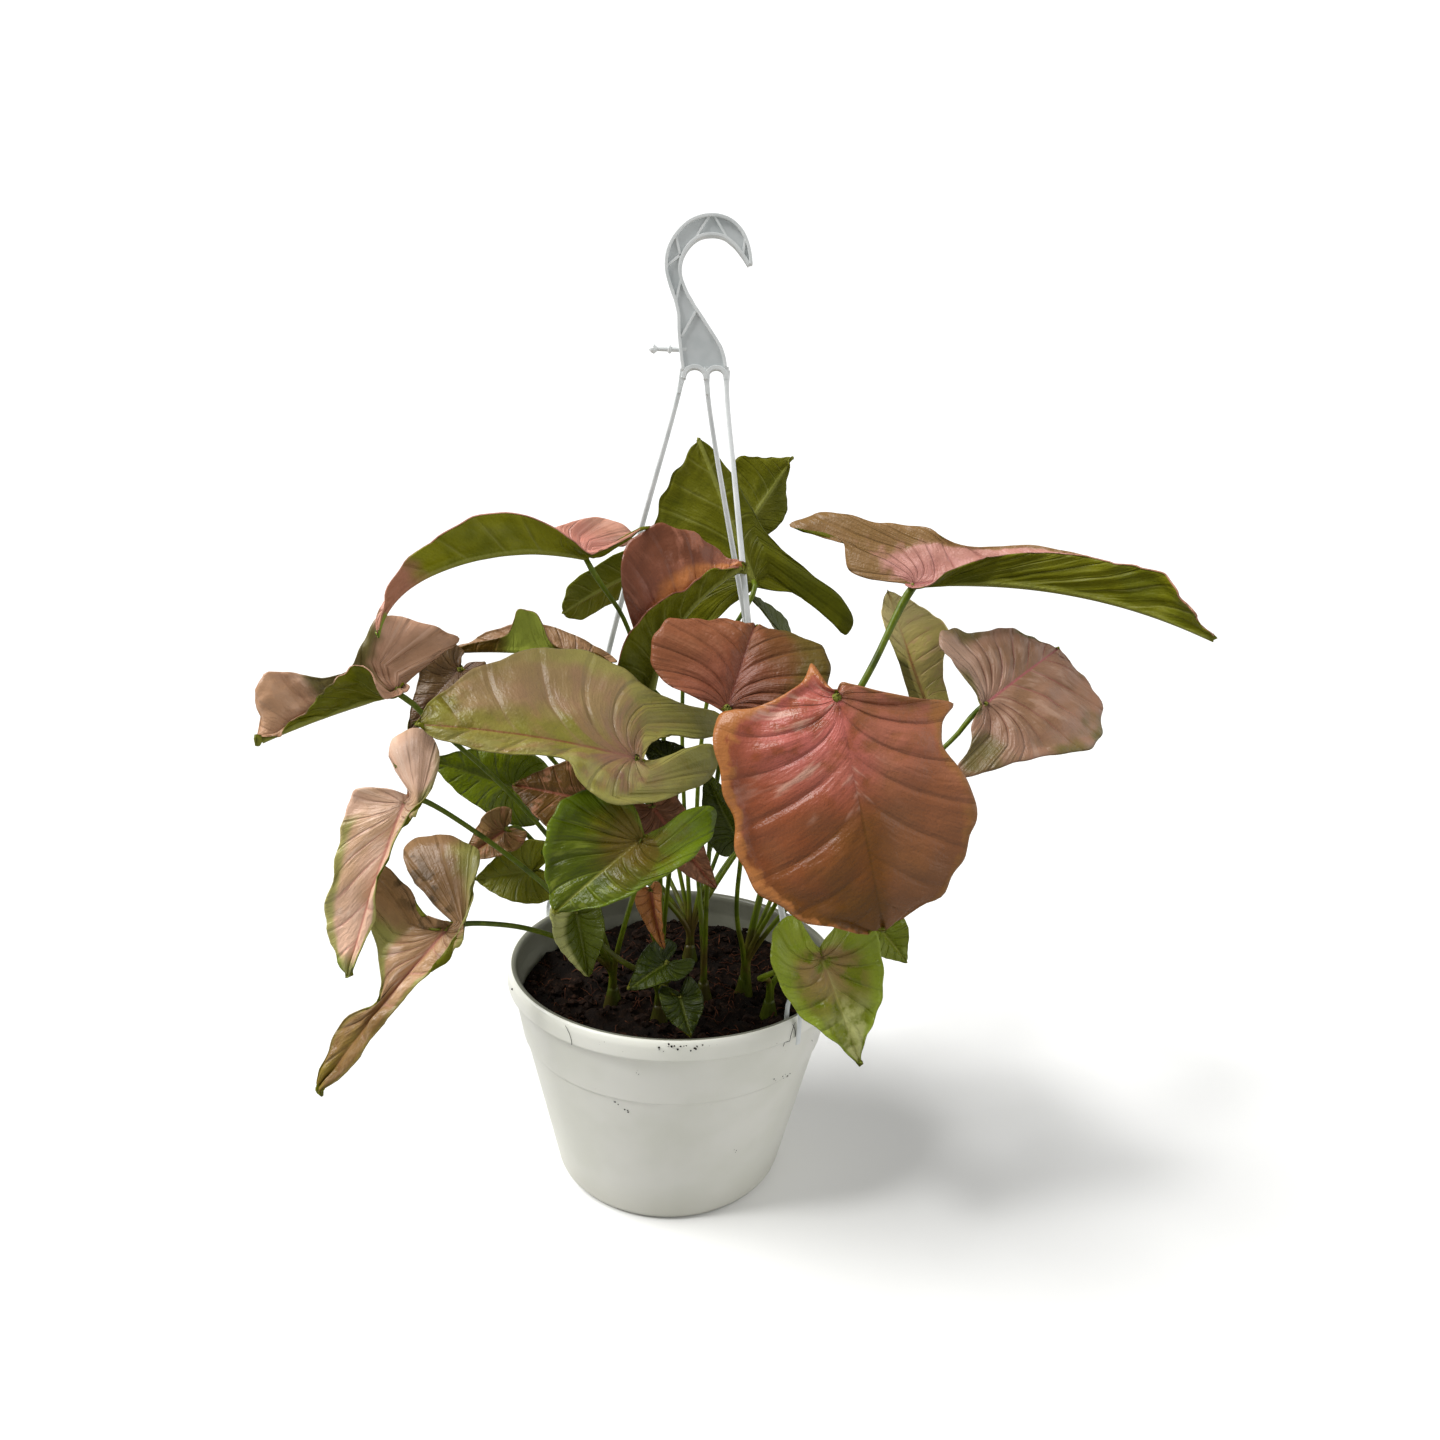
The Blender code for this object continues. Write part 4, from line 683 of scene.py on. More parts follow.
def tube(bm, path, radii, sides, section=None, flip=(0, 1, 0)):
    """A round or shaped bar along a line of points, tapered to closed ends; section gives its outline."""
    path = np.asarray(path, float)
    path = np.concatenate([path[:1], path, path[-1:]])
    radii = np.concatenate([[0.0], radii, [0.0]])
    made = bmesh.ops.create_grid(bm, x_segments=sides, y_segments=len(path) - 1, size=1.0)["verts"]
    guide = np.array(flip, float)
    frames = []
    for i in range(len(path)):
        k = min(max(i, 1), len(path) - 2)
        ahead = unit(path[min(k + 1, len(path) - 2)] - path[max(k - 1, 1)])
        guide = unit(guide - ahead * np.dot(guide, ahead))
        frames.append((guide, np.cross(ahead, guide)))
    for vert in made:
        j = int(round((vert.co.x + 1) / 2 * sides)) % sides
        i = int(round((vert.co.y + 1) / 2 * (len(path) - 1)))
        t = 2 * math.pi * j / sides
        u, w = section[j] if section else (math.cos(t), math.sin(t))
        one, two = frames[i]
        vert.co = Vector(path[i] + (one * u + two * w) * radii[i])
    faces = list({face for vert in made for face in vert.link_faces})
    bmesh.ops.remove_doubles(bm, verts=made, dist=0.001)
    faces = [face for face in faces if face.is_valid]
    bmesh.ops.recalc_face_normals(bm, faces=faces)
    return faces


# Leaves and stalks

def arc_share(row, k, length):
    """How far round the edge each step lies, as shares of the half's whole edge."""
    t = np.linspace(0, 1, 121)
    rim = blend(half_edge(row, k, length), t)
    run = np.concatenate([[0], np.cumsum(np.linalg.norm(np.diff(rim, axis=0), axis=1))])
    return t, run / run[-1]


def is_broad(row):
    """A broad blade has a finer mesh, higher pillows and a thicker midrib."""
    return max(row["width"]) >= 30


def leaf_half(bm, layers, row, number, side):
    """One half of a blade as a grid, with its two maps and with each point's lift and ridge."""
    lay, flat, lift, rib = layers
    look = TONES[row["name"]]
    broad = is_broad(row)
    rows, columns = (96, 26) if broad else (52, 14)
    quilt = look.get("quilt", 1.2 if broad else 0.7)
    crumple = look.get("crumple", 0.7)
    length = spine(row)[0]
    k = 0 if side < 0 else 1
    made = bmesh.ops.create_grid(bm, x_segments=rows, y_segments=columns, size=1.0)["verts"]
    a = np.array([(vert.co.x + 1) / 2 for vert in made])
    s = np.array([(vert.co.y + 1) / 2 for vert in made])
    # The lines stand closer near the midrib and the edge, where the relief is finest
    v = s - 0.11 * np.sin(2 * np.pi * s)
    across, along = flat_places(relaxed(row, k, length), a, v)
    arc = np.interp(a, *arc_share(row, k, length))
    tally = (arc - VEIN_BEND * v) * look.get("veins", VEINS)
    # The margin swells a little between the side veins
    swell = 1 + (0.012 if broad else 0.008) * np.sin(2 * np.pi * tally) * v ** 4
    across = across * swell
    along = along * swell
    points = blade_points(row, side, a, v, across, along)
    pillow = np.abs(np.sin(np.pi * tally)) ** 0.7
    middle = np.clip(v * 4, 0, 1) * np.clip((1 - v) * 4, 0, 1) * np.clip(along / length * 6 + 1, 0.3, 1)
    # The pillows run out towards the joint, where the veins meet
    middle = middle * np.clip(np.hypot(across, along) / length * 3.2, 0.1, 1)
    fade = 1 - 0.6 * np.clip(along / length, 0, 1)
    ridge = np.exp(-(across / (0.9 + 0.8 * fade)) ** 2) * fade * (along > -1)
    ridge = np.maximum(ridge, 0.16 * (1 - pillow) * np.clip(1 - v, 0, 1))
    start, tall = look.get("roll", {}).get(side, (0.94, 0.5))
    roll = tall * np.sin(np.pi * np.clip((v - start) / (1 - start), 0, 1)) ** 0.7
    where = {}
    for i, vert in enumerate(made):
        soft = noise.noise(Vector((across[i] * side * 0.055, along[i] * 0.055, number * 7.3)))
        small = noise.noise(Vector((across[i] * side * 0.16, along[i] * 0.16, number * 3.1 + 50)))
        edge = noise.noise(Vector((arc[i] * 9, side * 3.0, number * 5.7))) * v[i] ** 3
        tiny = noise.noise(Vector((tally[i] * 2.4, v[i] * 2.0, number * 1.9)))
        vert[lift] = (quilt * pillow[i] * middle[i] * (0.8 + 0.5 * soft) + roll[i]
                      + ((1.8 * soft + 0.8 * small) * min(1, v[i] * 3) + 2.2 * edge) * crumple
                      + 0.45 * quilt * tiny * middle[i] - 0.5 * ridge[i])
        vert[rib] = float(ridge[i])
        vert.co = Vector(points[i])
        spot = (side * across[i] / FLAT_UNIT, along[i] / FLAT_UNIT)
        where[vert] = ((arc[i], side * v[i]), spot)
    faces = {face for vert in made for face in vert.link_faces}
    for face in faces:
        for loop in face.loops:
            loop[lay].uv, loop[flat].uv = where[loop.vert]
    if side > 0:
        bmesh.ops.reverse_faces(bm, faces=list(faces))


def make_leaf(row, number):
    """One blade: pillows between sunken side veins, crumples, a rolled edge, a ridge under the midrib."""
    look = TONES[row["name"]]
    bm = bmesh.new()
    layers = (bm.loops.layers.uv.new("lay"), bm.loops.layers.uv.new("flat"),
              bm.verts.layers.float.new("lift"), bm.verts.layers.float.new("rib"))
    for side in (-1, 1):
        leaf_half(bm, layers, row, number, side)
    bmesh.ops.remove_doubles(bm, verts=bm.verts, dist=0.02)
    bm.normal_update()
    lift, rib = layers[2:]
    shift = [(vert, vert.normal * vert[lift]) for vert in bm.verts]
    for vert, step in shift:
        vert.co += step
    ribs = [vert[rib] for vert in bm.verts]
    skin = leaf_skin("leaf skin %s" % row["name"][-2:], number * 1.7, look["base"], look["layers"],
                     look.get("rough", 0.34), look.get("veins", VEINS))
    under = UNDERS[look.get("under", "olive")]
    obj = piece("blade_" + row["name"][-2:], bm, (skin, under), row["name"])
    # The sheet is thin, and thick only where the ridge stands under the midrib
    thin = 0.6
    thick = 2.2 if is_broad(row) else 1.4
    group = obj.vertex_groups.new(name="rib")
    for index, value in enumerate(ribs):
        group.add([index], thin / thick + (1 - thin / thick) * value, "REPLACE")
    mod = obj.modifiers.new("blade", "SOLIDIFY")
    mod.thickness = thick / 1000
    mod.offset = -1.0
    mod.vertex_group = "rib"
    mod.material_offset = 1
    mod.material_offset_rim = 0
    return obj


def stalk_line(row, rings):
    """The line of one leaf's stalk, from inside its bundle into the underside of the blade."""
    table = spine(row)[1]
    at = int(np.argmin(np.abs(table[0])))
    along = table[2][at]
    up = table[3][at]
    end = np.asarray(row["joint"], float) - up * 0.9
    arrive = unit(up + along * row["lead"])
    x, y = STUBS[row["stalk"]]
    points = [(x, y, STUB_HEAD - 26), (x, y, STUB_HEAD - 10), (x, y, STUB_HEAD + 8)]
    points += list(row["via"])
    points += [end - arrive * 12, end]
    return rounded(points, rings)


def make_stalks():
    """Each bundle: leaf stalks that widen at the foot into sheaths, closed round a short stem."""
    skin = stalk_skin()
    for number, (x, y) in enumerate(STUBS):
        bm = bmesh.new()
        heights = np.linspace(STUB_FOOT, STUB_HEAD - 6, 14)
        tube(bm, [(x, y, z) for z in heights], 5.6 * np.clip((STUB_HEAD + 6 - heights) / 24, 0.3, 1), 14)
        for row in LEAVES:
            if row["stalk"] != number:
                continue
            path = stalk_line(row, 44)
            lean = path[12, :2] - path[0, :2]
            lean = lean / max(1.0, np.linalg.norm(lean))
            rise = np.clip((path[:, 2] - STUB_FOOT) / 60, 0, 1)
            path[:, :2] += lean * (2.6 * (1 - rise) ** 2)[:, None]
            radii = row["thick"] * (1 + 1.5 * np.exp(-(path[:, 2] - 100) / 20))
            radii[-5:] *= np.array([1.04, 1.1, 1.18, 1.22, 1.1])
            tube(bm, path, radii, 12)
        piece("stalks_%d" % (number + 1), bm, (skin,), "stalk_%d" % (number + 1))


# Pot and soil

def wall_radius(z):
    """The pot's outer radius below its lip."""
    if z >= STEP_Z:
        return STEP_RADIUS + (z - STEP_Z) * UPPER_TAPER
    return BASE_RADIUS + 2.5 + (z - 3.0) * LOWER_GROWTH / (STEP_Z - 3.0)


def spun(profile, sides, closed=True):
    """A turned body from an outline of radius and height."""
    bm = bmesh.new()
    verts = [bm.verts.new((r, 0, z)) for r, z in profile]
    edges = [bm.edges.new(pair) for pair in zip(verts, verts[1:])]
    if closed:
        edges.append(bm.edges.new((verts[-1], verts[0])))
    bmesh.ops.spin(bm, geom=verts + edges, cent=(0, 0, 0), axis=(0, 0, 1), angle=2 * math.pi, steps=sides,
                   use_merge=True)
    bmesh.ops.remove_doubles(bm, verts=bm.verts, dist=0.001)
    bmesh.ops.recalc_face_normals(bm, faces=bm.faces)
    return bm


def rounded_outline(corners, size):
    """An outline with each inner corner cut by a small curve."""
    out = [corners[0]]
    for before, here, after in zip(corners, corners[1:], corners[2:]):
        before, here, after = (np.array(p, float) for p in (before, here, after))
        r = min(size, 0.45 * np.linalg.norm(before - here), 0.45 * np.linalg.norm(after - here))
        one = here + unit(before - here) * r
        two = here + unit(after - here) * r
        for t in (0, 0.33, 0.67, 1):
            out.append(tuple(one * (1 - t) ** 2 + here * 2 * t * (1 - t) + two * t ** 2))
    out.append(corners[-1])
    return out


def cut_away(obj, cutters):
    """Cut the other meshes out of a finished one, and remove them."""
    group = bpy.data.collections.new("cutters")
    bpy.context.scene.collection.children.link(group)
    for cutter in cutters:
        group.objects.link(cutter)
    mod = obj.modifiers.new("cut", "BOOLEAN")
    mod.operation = "DIFFERENCE"
    mod.operand_type = "COLLECTION"
    mod.collection = group
    mod.solver = "EXACT"
    bpy.context.view_layer.update()
    mesh = bpy.data.meshes.new_from_object(obj.evaluated_get(bpy.context.evaluated_depsgraph_get()))
    obj.modifiers.remove(mod)
    mesh.name = obj.name
    obj.data = mesh
    for cutter in cutters:
        bpy.data.objects.remove(cutter, do_unlink=True)
    bpy.data.collections.remove(group)


def make_pot():
    """The pot: a tapered cup with a soft rolled lip, a fine step, a raised foot and six drain holes."""
    under = POT_HEIGHT - LIP_HEIGHT
    outside = [
        (0.0, 1.0), (BASE_RADIUS - 6, 1.0), (BASE_RADIUS - 5, 0.0), (BASE_RADIUS, 0.0),
                    (BASE_RADIUS + 2.5, 3.0),
        (wall_radius(STEP_Z - 0.8), STEP_Z - 0.8), (wall_radius(STEP_Z) - 0.1, STEP_Z + 0.3),
        (wall_radius(under), under), (RIM_RADIUS - 1.6, under - 0.2), (RIM_RADIUS, under + 1.2),
        (RIM_RADIUS, POT_HEIGHT - 3.0), (RIM_RADIUS - 1.6, POT_HEIGHT),
    ]
    inside = [
        (RIM_RADIUS - 4.6, POT_HEIGHT - 0.6), (RIM_RADIUS - 5.6, POT_HEIGHT - 3.0),
        (wall_radius(under) - WALL, under - 2.0),
        (wall_radius(STEP_Z) - WALL, STEP_Z), (BASE_RADIUS + 1.2, FLOOR + 2.5),
        (BASE_RADIUS - 1.2, FLOOR), (0.0, FLOOR),
    ]
    bm = spun(rounded_outline(outside + inside, 1.4), 144)
    # The inside above the soil takes a darker grey copy of the plastic, painted shade where the wall is
    # hidden from the lamps
    for face in bm.faces:
        middle = face.calc_center_median()
        if middle.z > SOIL_TOP - 8 and face.normal.x * middle.x + face.normal.y * middle.y < -0.3:
            face.material_index = 1
    # The second plastic is the first darkened, painted shade inside the pot
    skins = (pot_plastic("polypropylene, moulded satin white", "F0EFE6", "E6E6DA"),
             pot_plastic("polypropylene, painted shade inside", "8E8E80", "6E6E5E"))
    pot = piece("pot_shell", bm, skins, "pot")
    # Six drain holes, cut from the finished pot and so in metres
    hole_ring = 0.044
    hole_radius = 0.004
    cutters = []
    for k in range(6):
        t = math.radians(60 * k + 30)
        bm = bmesh.new()
        x = hole_ring * math.cos(t)
        y = hole_ring * math.sin(t)
        tube(bm, [(x, y, z) for z in (-0.005, -0.004, 0.011, 0.012)], (hole_radius,) * 4, 24)
        mesh = bpy.data.meshes.new("hole")
        bm.to_mesh(mesh)
        bm.free()
        cutters.append(bpy.data.objects.new("hole", mesh))
    cut_away(pot, cutters)
    return pot


def soil_height(x, y):
    """The uneven top of the soil, as in the part's source, with finer clods."""
    lump = 1.5 * math.sin(x * 0.11 + 1.0) * math.cos(y * 0.13)
    base = SOIL_TOP + lump + 1.0 * math.sin(x * 0.31 + y * 0.27) + 0.8 * math.cos(x * 0.19 - y * 0.37)
    clod = 3.2 * noise.noise(Vector((x * 0.09, y * 0.09, 3.0)))
    return base + clod + 1.3 * noise.noise(Vector((x * 0.3, y * 0.3, 9.0)))


def random_place(rng, reach):
    """A random place on the soil, no further than this from its middle."""
    r = reach * math.sqrt(rng.random())
    t = rng.random() * 2 * math.pi
    return r * math.cos(t), r * math.sin(t)


def make_soil():
    """The soil body with its lumpy top, and all that lies on it."""
    edge = wall_radius(SOIL_TOP) - WALL - 0.9
    outline = [(0.0, FLOOR + 0.3), (BASE_RADIUS - 1.6, FLOOR + 0.3), (BASE_RADIUS + 0.7, FLOOR + 2.8),
               (wall_radius(STEP_Z) - WALL - 0.6, STEP_Z), (edge, SOIL_TOP - 2)]
    outline += [(edge * (1 - k / 48), SOIL_TOP) for k in range(1, 49)]
    bm = spun(outline, 150, closed=False)
    for vert in bm.verts:
        if vert.co.z > SOIL_TOP - 0.5:
            vert.co.z = soil_height(vert.co.x, vert.co.y)
    body = peat("peat and coir mix, moist", "120A05", "24170D")
    piece("soil_body", bm, (body,), "soil")
    rng = random.Random(11)
    make_crumbs(rng, edge)
    make_fibres(rng, edge)
    bm = bmesh.new()
    stick = [(-78, -30, 106), (-81, -35, 112), (-85, -40, 119), (-88, -45, 124)]
    tube(bm, stick, (0.9, 0.9, 0.7, 0.5), 8)
    piece("soil_stick", bm, (peat("dead root, black", "120B08", "22160F"),), None)


def make_crumbs(rng, edge):
    """Small crumbs and bigger clods on the soil."""
    bm = bmesh.new()
    for _ in range(700):
        x, y = random_place(rng, edge - 3)
        size = 0.6 + 2.2 * rng.random() ** 2.5
        made = bmesh.ops.create_icosphere(bm, subdivisions=1, radius=size)["verts"]
        squash = [0.6 + 0.7 * rng.random() for _ in range(3)]
        for vert in made:
            shake = 1 + 0.5 * (rng.random() - 0.5)
            vert.co = Vector([c * s * shake for c, s in zip(vert.co, squash)])
            vert.co += Vector((x, y, soil_height(x, y) + size * 0.35))
    for _ in range(150):
        x, y = random_place(rng, edge - 6)
        size = 2.2 + 2.6 * rng.random() ** 2
        made = bmesh.ops.create_icosphere(bm, subdivisions=2, radius=size)["verts"]
        for vert in made:
            shake = 1 + 0.9 * noise.noise(vert.co * (1.2 / size) + Vector((x, y, 0)))
            vert.co = Vector((vert.co.x * shake, vert.co.y * shake, vert.co.z * shake * 0.7))
            vert.co += Vector((x, y, soil_height(x, y) + size * 0.1))
    crumbs = peat("peat crumbs", "1A0F08", "3A261B")
    piece("soil_crumbs", bm, (crumbs,), None, smooth=False)


def make_fibres(rng, edge):
    """Rusty coir fibres that arch over the soil."""
    bm = bmesh.new()
    for _ in range(420):
        x, y = random_place(rng, edge - 7)
        heading = rng.random() * 2 * math.pi
        reach = 3 + 9 * rng.random()
        bend = (rng.random() - 0.5) * 1.6
        line = []
        for k in range(6):
            if math.hypot(x, y) > edge - 2:
                break
            line.append((x, y, soil_height(x, y) + 0.7 + 1.6 * math.sin(math.pi * k / 5) * rng.random()))
            x += reach / 5 * math.cos(heading)
            y += reach / 5 * math.sin(heading)
            heading += bend / 5
        if len(line) > 3:
            tube(bm, line, [0.16 + 0.2 * rng.random()] * len(line), 4)
    fibre = peat("coir fibres, rusty", "4A2A1C", "6A4028")
    piece("soil_fibres", bm, (fibre,), None)


def make_specks():
    """Crumbs of soil stuck to the lip and wall, and root hairs that hang over the rim."""
    rng = random.Random(5)
    bm = bmesh.new()
    for angle, z, size in SPECKS:
        r = RIM_RADIUS if z > POT_HEIGHT - LIP_HEIGHT else wall_radius(z)
        for _ in range(3):
            turn = math.radians(angle + rng.uniform(-1.2, 1.2))
            part = size * rng.uniform(0.35, 0.85)
            made = bmesh.ops.create_icosphere(bm, subdivisions=1, radius=part)["verts"]
            outward = Vector((math.cos(turn), math.sin(turn), 0))
            spot = outward * (r + 0.15)
            spot.z = z + rng.uniform(-1.2, 1.2)
            for vert in made:
                vert.co -= outward * (vert.co.dot(outward) * 0.6)
                vert.co = vert.co * rng.uniform(0.7, 1.2) + spot
    piece("soil_specks", bm, (peat("dried peat specks", "1C130D", "3A2A20"),), None,
          smooth=False)
    bm = bmesh.new()
    for angle, low, high, lean in HAIRS:
        line = []
        for k in range(7):
            z = low + (high - low) * k / 6
            turn = math.radians(angle + lean * (k / 6) ** 2)
            r = (RIM_RADIUS if z > POT_HEIGHT - LIP_HEIGHT - 0.5 else wall_radius(z)) + 0.2
            line.append((r * math.cos(turn), r * math.sin(turn), z))
        tube(bm, line, [0.12] * 7, 5)
    piece("root_hairs", bm, (peat("dry root hairs", "2A2018", "4A3A2C"),), None)


# Specks are angle, height and size; root hairs are angle, lowest and highest point, and lean in degrees
SPECKS = (
    (-88.8, 126.5, 0.9), (-86.5, 125.5, 0.8), (-84.2, 126.5, 0.7), (-81.8, 124.0, 0.7), (-90.5, 124.0, 0.8),
    (-79.8, 126.0, 0.6), (-106.0, 84.0, 0.6), (-103.2, 80.0, 0.7), (-49.5, 90.5, 0.7), (-45.0, 89.5, 0.7),
    (-42.5, 88.0, 0.6), (-97.2, 106.0, 0.5), (-60.2, 46.0, 0.5), (-30.0, 101.0, 0.5), (70.0, 119.0, 0.7),
    (150.0, 95.0, 0.6),
)
HAIRS = ((-118.8, 117.0, 126.5, -2.5), (-49.2, 112.0, 126.5, 2.2), (-46.5, 118.0, 126.0, -1.6))


# Hanger

# The hook's line from its tip to the plate's lower end, as x, z and half width
HOOK = (
    (27.6, 512.5, 1.4), (25.6, 517.6, 3.2), (21.6, 524.4, 4.6), (15.4, 529.6, 5.2), (7.2, 531.0, 5.4),
    (-1.4, 529.0, 5.2), (-7.8, 523.4, 5.0), (-11.6, 516.6, 4.8), (-12.4, 509.6, 4.4), (-10.6, 502.6, 4.0),
    (-7.2, 495.4, 4.2), (-3.6, 487.6, 5.4), (-0.4, 478.6, 7.8), (2.9, 470.6, 9.8), (5.3, 464.6, 11.6),
    (5.7, 460.8, 12.2),
)

# The hook's stations that a rib starts from
RIBS = (1, 3, 4, 6, 7, 9, 11)

# The side peg and its collar, as x, z and radius
PEG = ((-4.0, 470.2, 1.3), (-12.0, 470.1, 1.2), (-19.5, 470.0, 1.1), (-20.2, 470.0, 1.7), (-21.2, 470, 2.5),
       (-22.6, 469.9, 1.8), (-23.8, 469.9, 0.5))
PEG_COLLAR = ((-12.0, 470.1, 1.6), (-12.4, 470.1, 2.1), (-13.3, 470.1, 2.1), (-13.7, 470.1, 1.6))

# The plate's lower arches: middle, reach and depth
ARCHES = ((0.8, 5.9, 2.6), (12.2, 5.4, 2.45))

# Where the arms meet the lip, in degrees, and their lines from the plate down
RIM_ANGLES = (150.0, 36.0, -46.0)
ARMS = (
    ((-5.0, 0, 462), (-8.0, 2, 445), (-25.0, 10, 385), (-44.0, 20, 314), (-66, 36, 220)),
    ((6.8, 0, 462), (8.0, 2, 445), (21.0, 10, 385), (33.5, 20, 330), (58, 42, 220)),
    ((17.5, 0, 462), (18.3, -2, 445), (22.8, -9, 414), (34.0, -26, 333), (50, -48, 220)),
)

# A clip's line over the lip, as places beyond the lip's edge and above its top
CLIP = ((1.4, -14), (1.8, 1), (1.2, 8), (-2.8, 11.6), (-6.6, 8), (-7.4, 1), (-7.4, -7))

# Outlines of bars at a radius of one: a grooved arm, and a clip's flat strap
ARM_SECTION = ((1.0, 0.0), (0.95, 0.45), (0.62, 0.8), (0.2, 0.55), (-0.2, 0.55), (-0.62, 0.8), (-0.95, 0.45),
               (-1.0, 0.0), (-0.95, -0.45), (-0.62, -0.8), (-0.2, -0.55), (0.2, -0.55), (0.62, -0.8),
               (0.95, -0.45))
STRAP_SECTION = [(0.55 * math.cos(2 * math.pi * j / 12), 1.25 * math.sin(2 * math.pi * j / 12))
                 for j in range(12)]


def aside(stations, i, shift):
    """A station moved sideways from the line through its neighbours, in x and z."""
    before = stations[max(i - 1, 0)]
    after = stations[min(i + 1, len(stations) - 1)]
    along = unit((after[0] - before[0], after[1] - before[1]))
    return stations[i][0] - along[1] * shift, stations[i][1] + along[0] * shift


def band(bm, stations, low, high, soft=0.35):
    """A flat band through stations of x, z and half width, between two depths, with bevelled edges."""
    count = len(stations)
    made = bmesh.ops.create_grid(bm, x_segments=count - 1, y_segments=1, size=1.0)["verts"]
    for vert in made:
        i = int(round((vert.co.x + 1) / 2 * (count - 1)))
        half = stations[i][2]
        x, z = aside(stations, i, half if vert.co.y > 0 else -half)
        vert.co = Vector((x, low, z))
    faces = list({face for vert in made for face in vert.link_faces})
    grown = bmesh.ops.extrude_face_region(bm, geom=faces)["geom"]
    for item in grown:
        if isinstance(item, bmesh.types.BMVert):
            item.co.y = high
    verts = made + [item for item in grown if isinstance(item, bmesh.types.BMVert)]
    faces = list({face for vert in verts for face in vert.link_faces})
    bmesh.ops.recalc_face_normals(bm, faces=faces)
    edges = [edge for edge in {edge for face in faces for edge in face.edges}
             if edge.calc_face_angle(0) > 0.7]
    bmesh.ops.bevel(bm, geom=edges, offset=soft, affect="EDGES", segments=2, profile=0.5, material=-1)


def make_hanger():
    """The moulded hanger: a ribbed hook, its plate and peg, three grooved arms and their rim clips."""
    bm = bmesh.new()
    fine = rounded([(x, 0, z) for x, z, _ in HOOK], 60)
    half = np.interp(np.linspace(0, 1, 60), np.linspace(0, 1, len(HOOK)), [w for _, _, w in HOOK])
    hook = [(p[0], p[2], w) for p, w in zip(fine, half)]
    band(bm, hook, -0.9, 0.9, 0.2)
    # The web takes the greyer second plastic, painted shade in its recess between the rims
    for face in bm.faces:
        face.material_index = 1
    rim = 0.85
    for sign in (-1, 1):
        edge = [aside(hook, i, sign * (hook[i][2] - rim)) + (rim,) for i in range(len(hook))]
        # One rim is a little shallower, so that no faces fall together where the two meet
        depth = 2.5 if sign > 0 else 2.6
        band(bm, edge, -depth, depth)
    # Ribs cross the web from rim to rim, each the other way from the last
    for i in RIBS:
        pair = HOOK[i:i + 2]
        lean = 1 if i % 2 else -1
        ends = [aside(pair, k, turn * lean * (pair[k][2] - 1)) + (0.6,) for k, turn in ((0, 1), (1, -1))]
        band(bm, ends, -2.0, 2.0, 0.15)
    for bar in (PEG, PEG_COLLAR):
        tube(bm, [(x, 0, z) for x, z, _ in bar], [size for _, _, size in bar], 12)
    # The plate's lower edge runs into the arms in two round arches
    for middle, reach, depth in ARCHES:
        turns = [math.pi * k / 12 for k in range(13)]
        arch = [(middle - reach * math.cos(t), 455.5 + 6.2 * math.sin(t) ** 0.8, 1.15) for t in turns]
        band(bm, arch, -depth, depth)
    for angle, line in zip(RIM_ANGLES, ARMS):
        # A gusset runs from the plate into the arm
        high = line[0][0]
        low = line[1][0]
        band(bm, [(high, 460.5, 2.0), (high * 0.6 + low * 0.4, 454.5, 1.4),
                  (high * 0.2 + low * 0.8, 448, 0.8)], -1.7, 1.7)
        t = math.radians(angle)
        head = RIM_RADIUS - 1.2
        top = (head * math.cos(t), head * math.sin(t), POT_HEIGHT + 9.4)
        path = rounded(list(line) + [top], 48)
        radii = np.interp(np.linspace(0, 1, 48), (0, 0.06, 0.3, 1), (1.7, 1.5, 1.9, 2.1))
        tube(bm, path, radii, len(ARM_SECTION), ARM_SECTION)
        clip = [((RIM_RADIUS + out) * math.cos(t), (RIM_RADIUS + out) * math.sin(t), POT_HEIGHT + up)
                for out, up in CLIP]
        tube(bm, rounded(clip, 28), [1.35] * 28, len(STRAP_SECTION), STRAP_SECTION,
             flip=(math.cos(t), math.sin(t), 0))
    # The second, greyer plastic is the first darkened, painted shade for the recessed web
    skins = (hanger_plastic("polypropylene, moulded grey-white", "E4E7E6", "CDD2D1"),
             hanger_plastic("polypropylene web, painted recess shade", "D0D4D4", "BCC2C2"))
    piece("hanger_frame", bm, skins, "hanger", smooth=False)


# Colours of the leaves

# A layer is a colour, its strength, and ranges of these values: out (0 at the midrib, 1 at the edge), side
# (the same, but negative on the left half when the tip is up), run (0 at the notch, 1 at the tip), near and
# rib (distance from the joint and from the midrib, in units of 100 mm), vein (0 on a side vein), noise in
# grains from wide and mid to fine, and streak and thread, which are brushed along the side veins
MIDRIB = ("rib", 0.016, 0.008)
VEIN = ("vein", 0.06, 0.015)
FAINT = ("out", 0.95, 0.55)


def tone(base, second, streak, vein, midrib, *extra, **more):
    """A leaf's colouring: two tones in patches, streaks, side veins and midrib, then its own marks."""
    layers = ((second, 0.75, ("wide", 0.44, 0.6)), (streak, 0.6, ("streak", 0.52, 0.7)),
              (vein, 0.5, VEIN, FAINT), (midrib, 0.7, MIDRIB)) + extra
    return dict(more, base=base, layers=layers)


def greenish(base, second, *extra, **more):
    """A green leaf, with paler veins."""
    return tone(base, second, "78822A", "7E8A30", "8A8C38", *extra, rough=0.3, **more)


def deep(base, second, *extra, **more):
    """A dark green leaf, with veins hardly paler than it."""
    return tone(base, second, "4C560E", "56601A", "5E6620", *extra, rough=0.3, **more)


def dusky(base="94552C", second="70470D", *extra, **more):
    """A copper brown leaf, with pinkish streaks."""
    return tone(base, second, "BC7F5D", "B07A5C", "A8604A", *extra, **more)


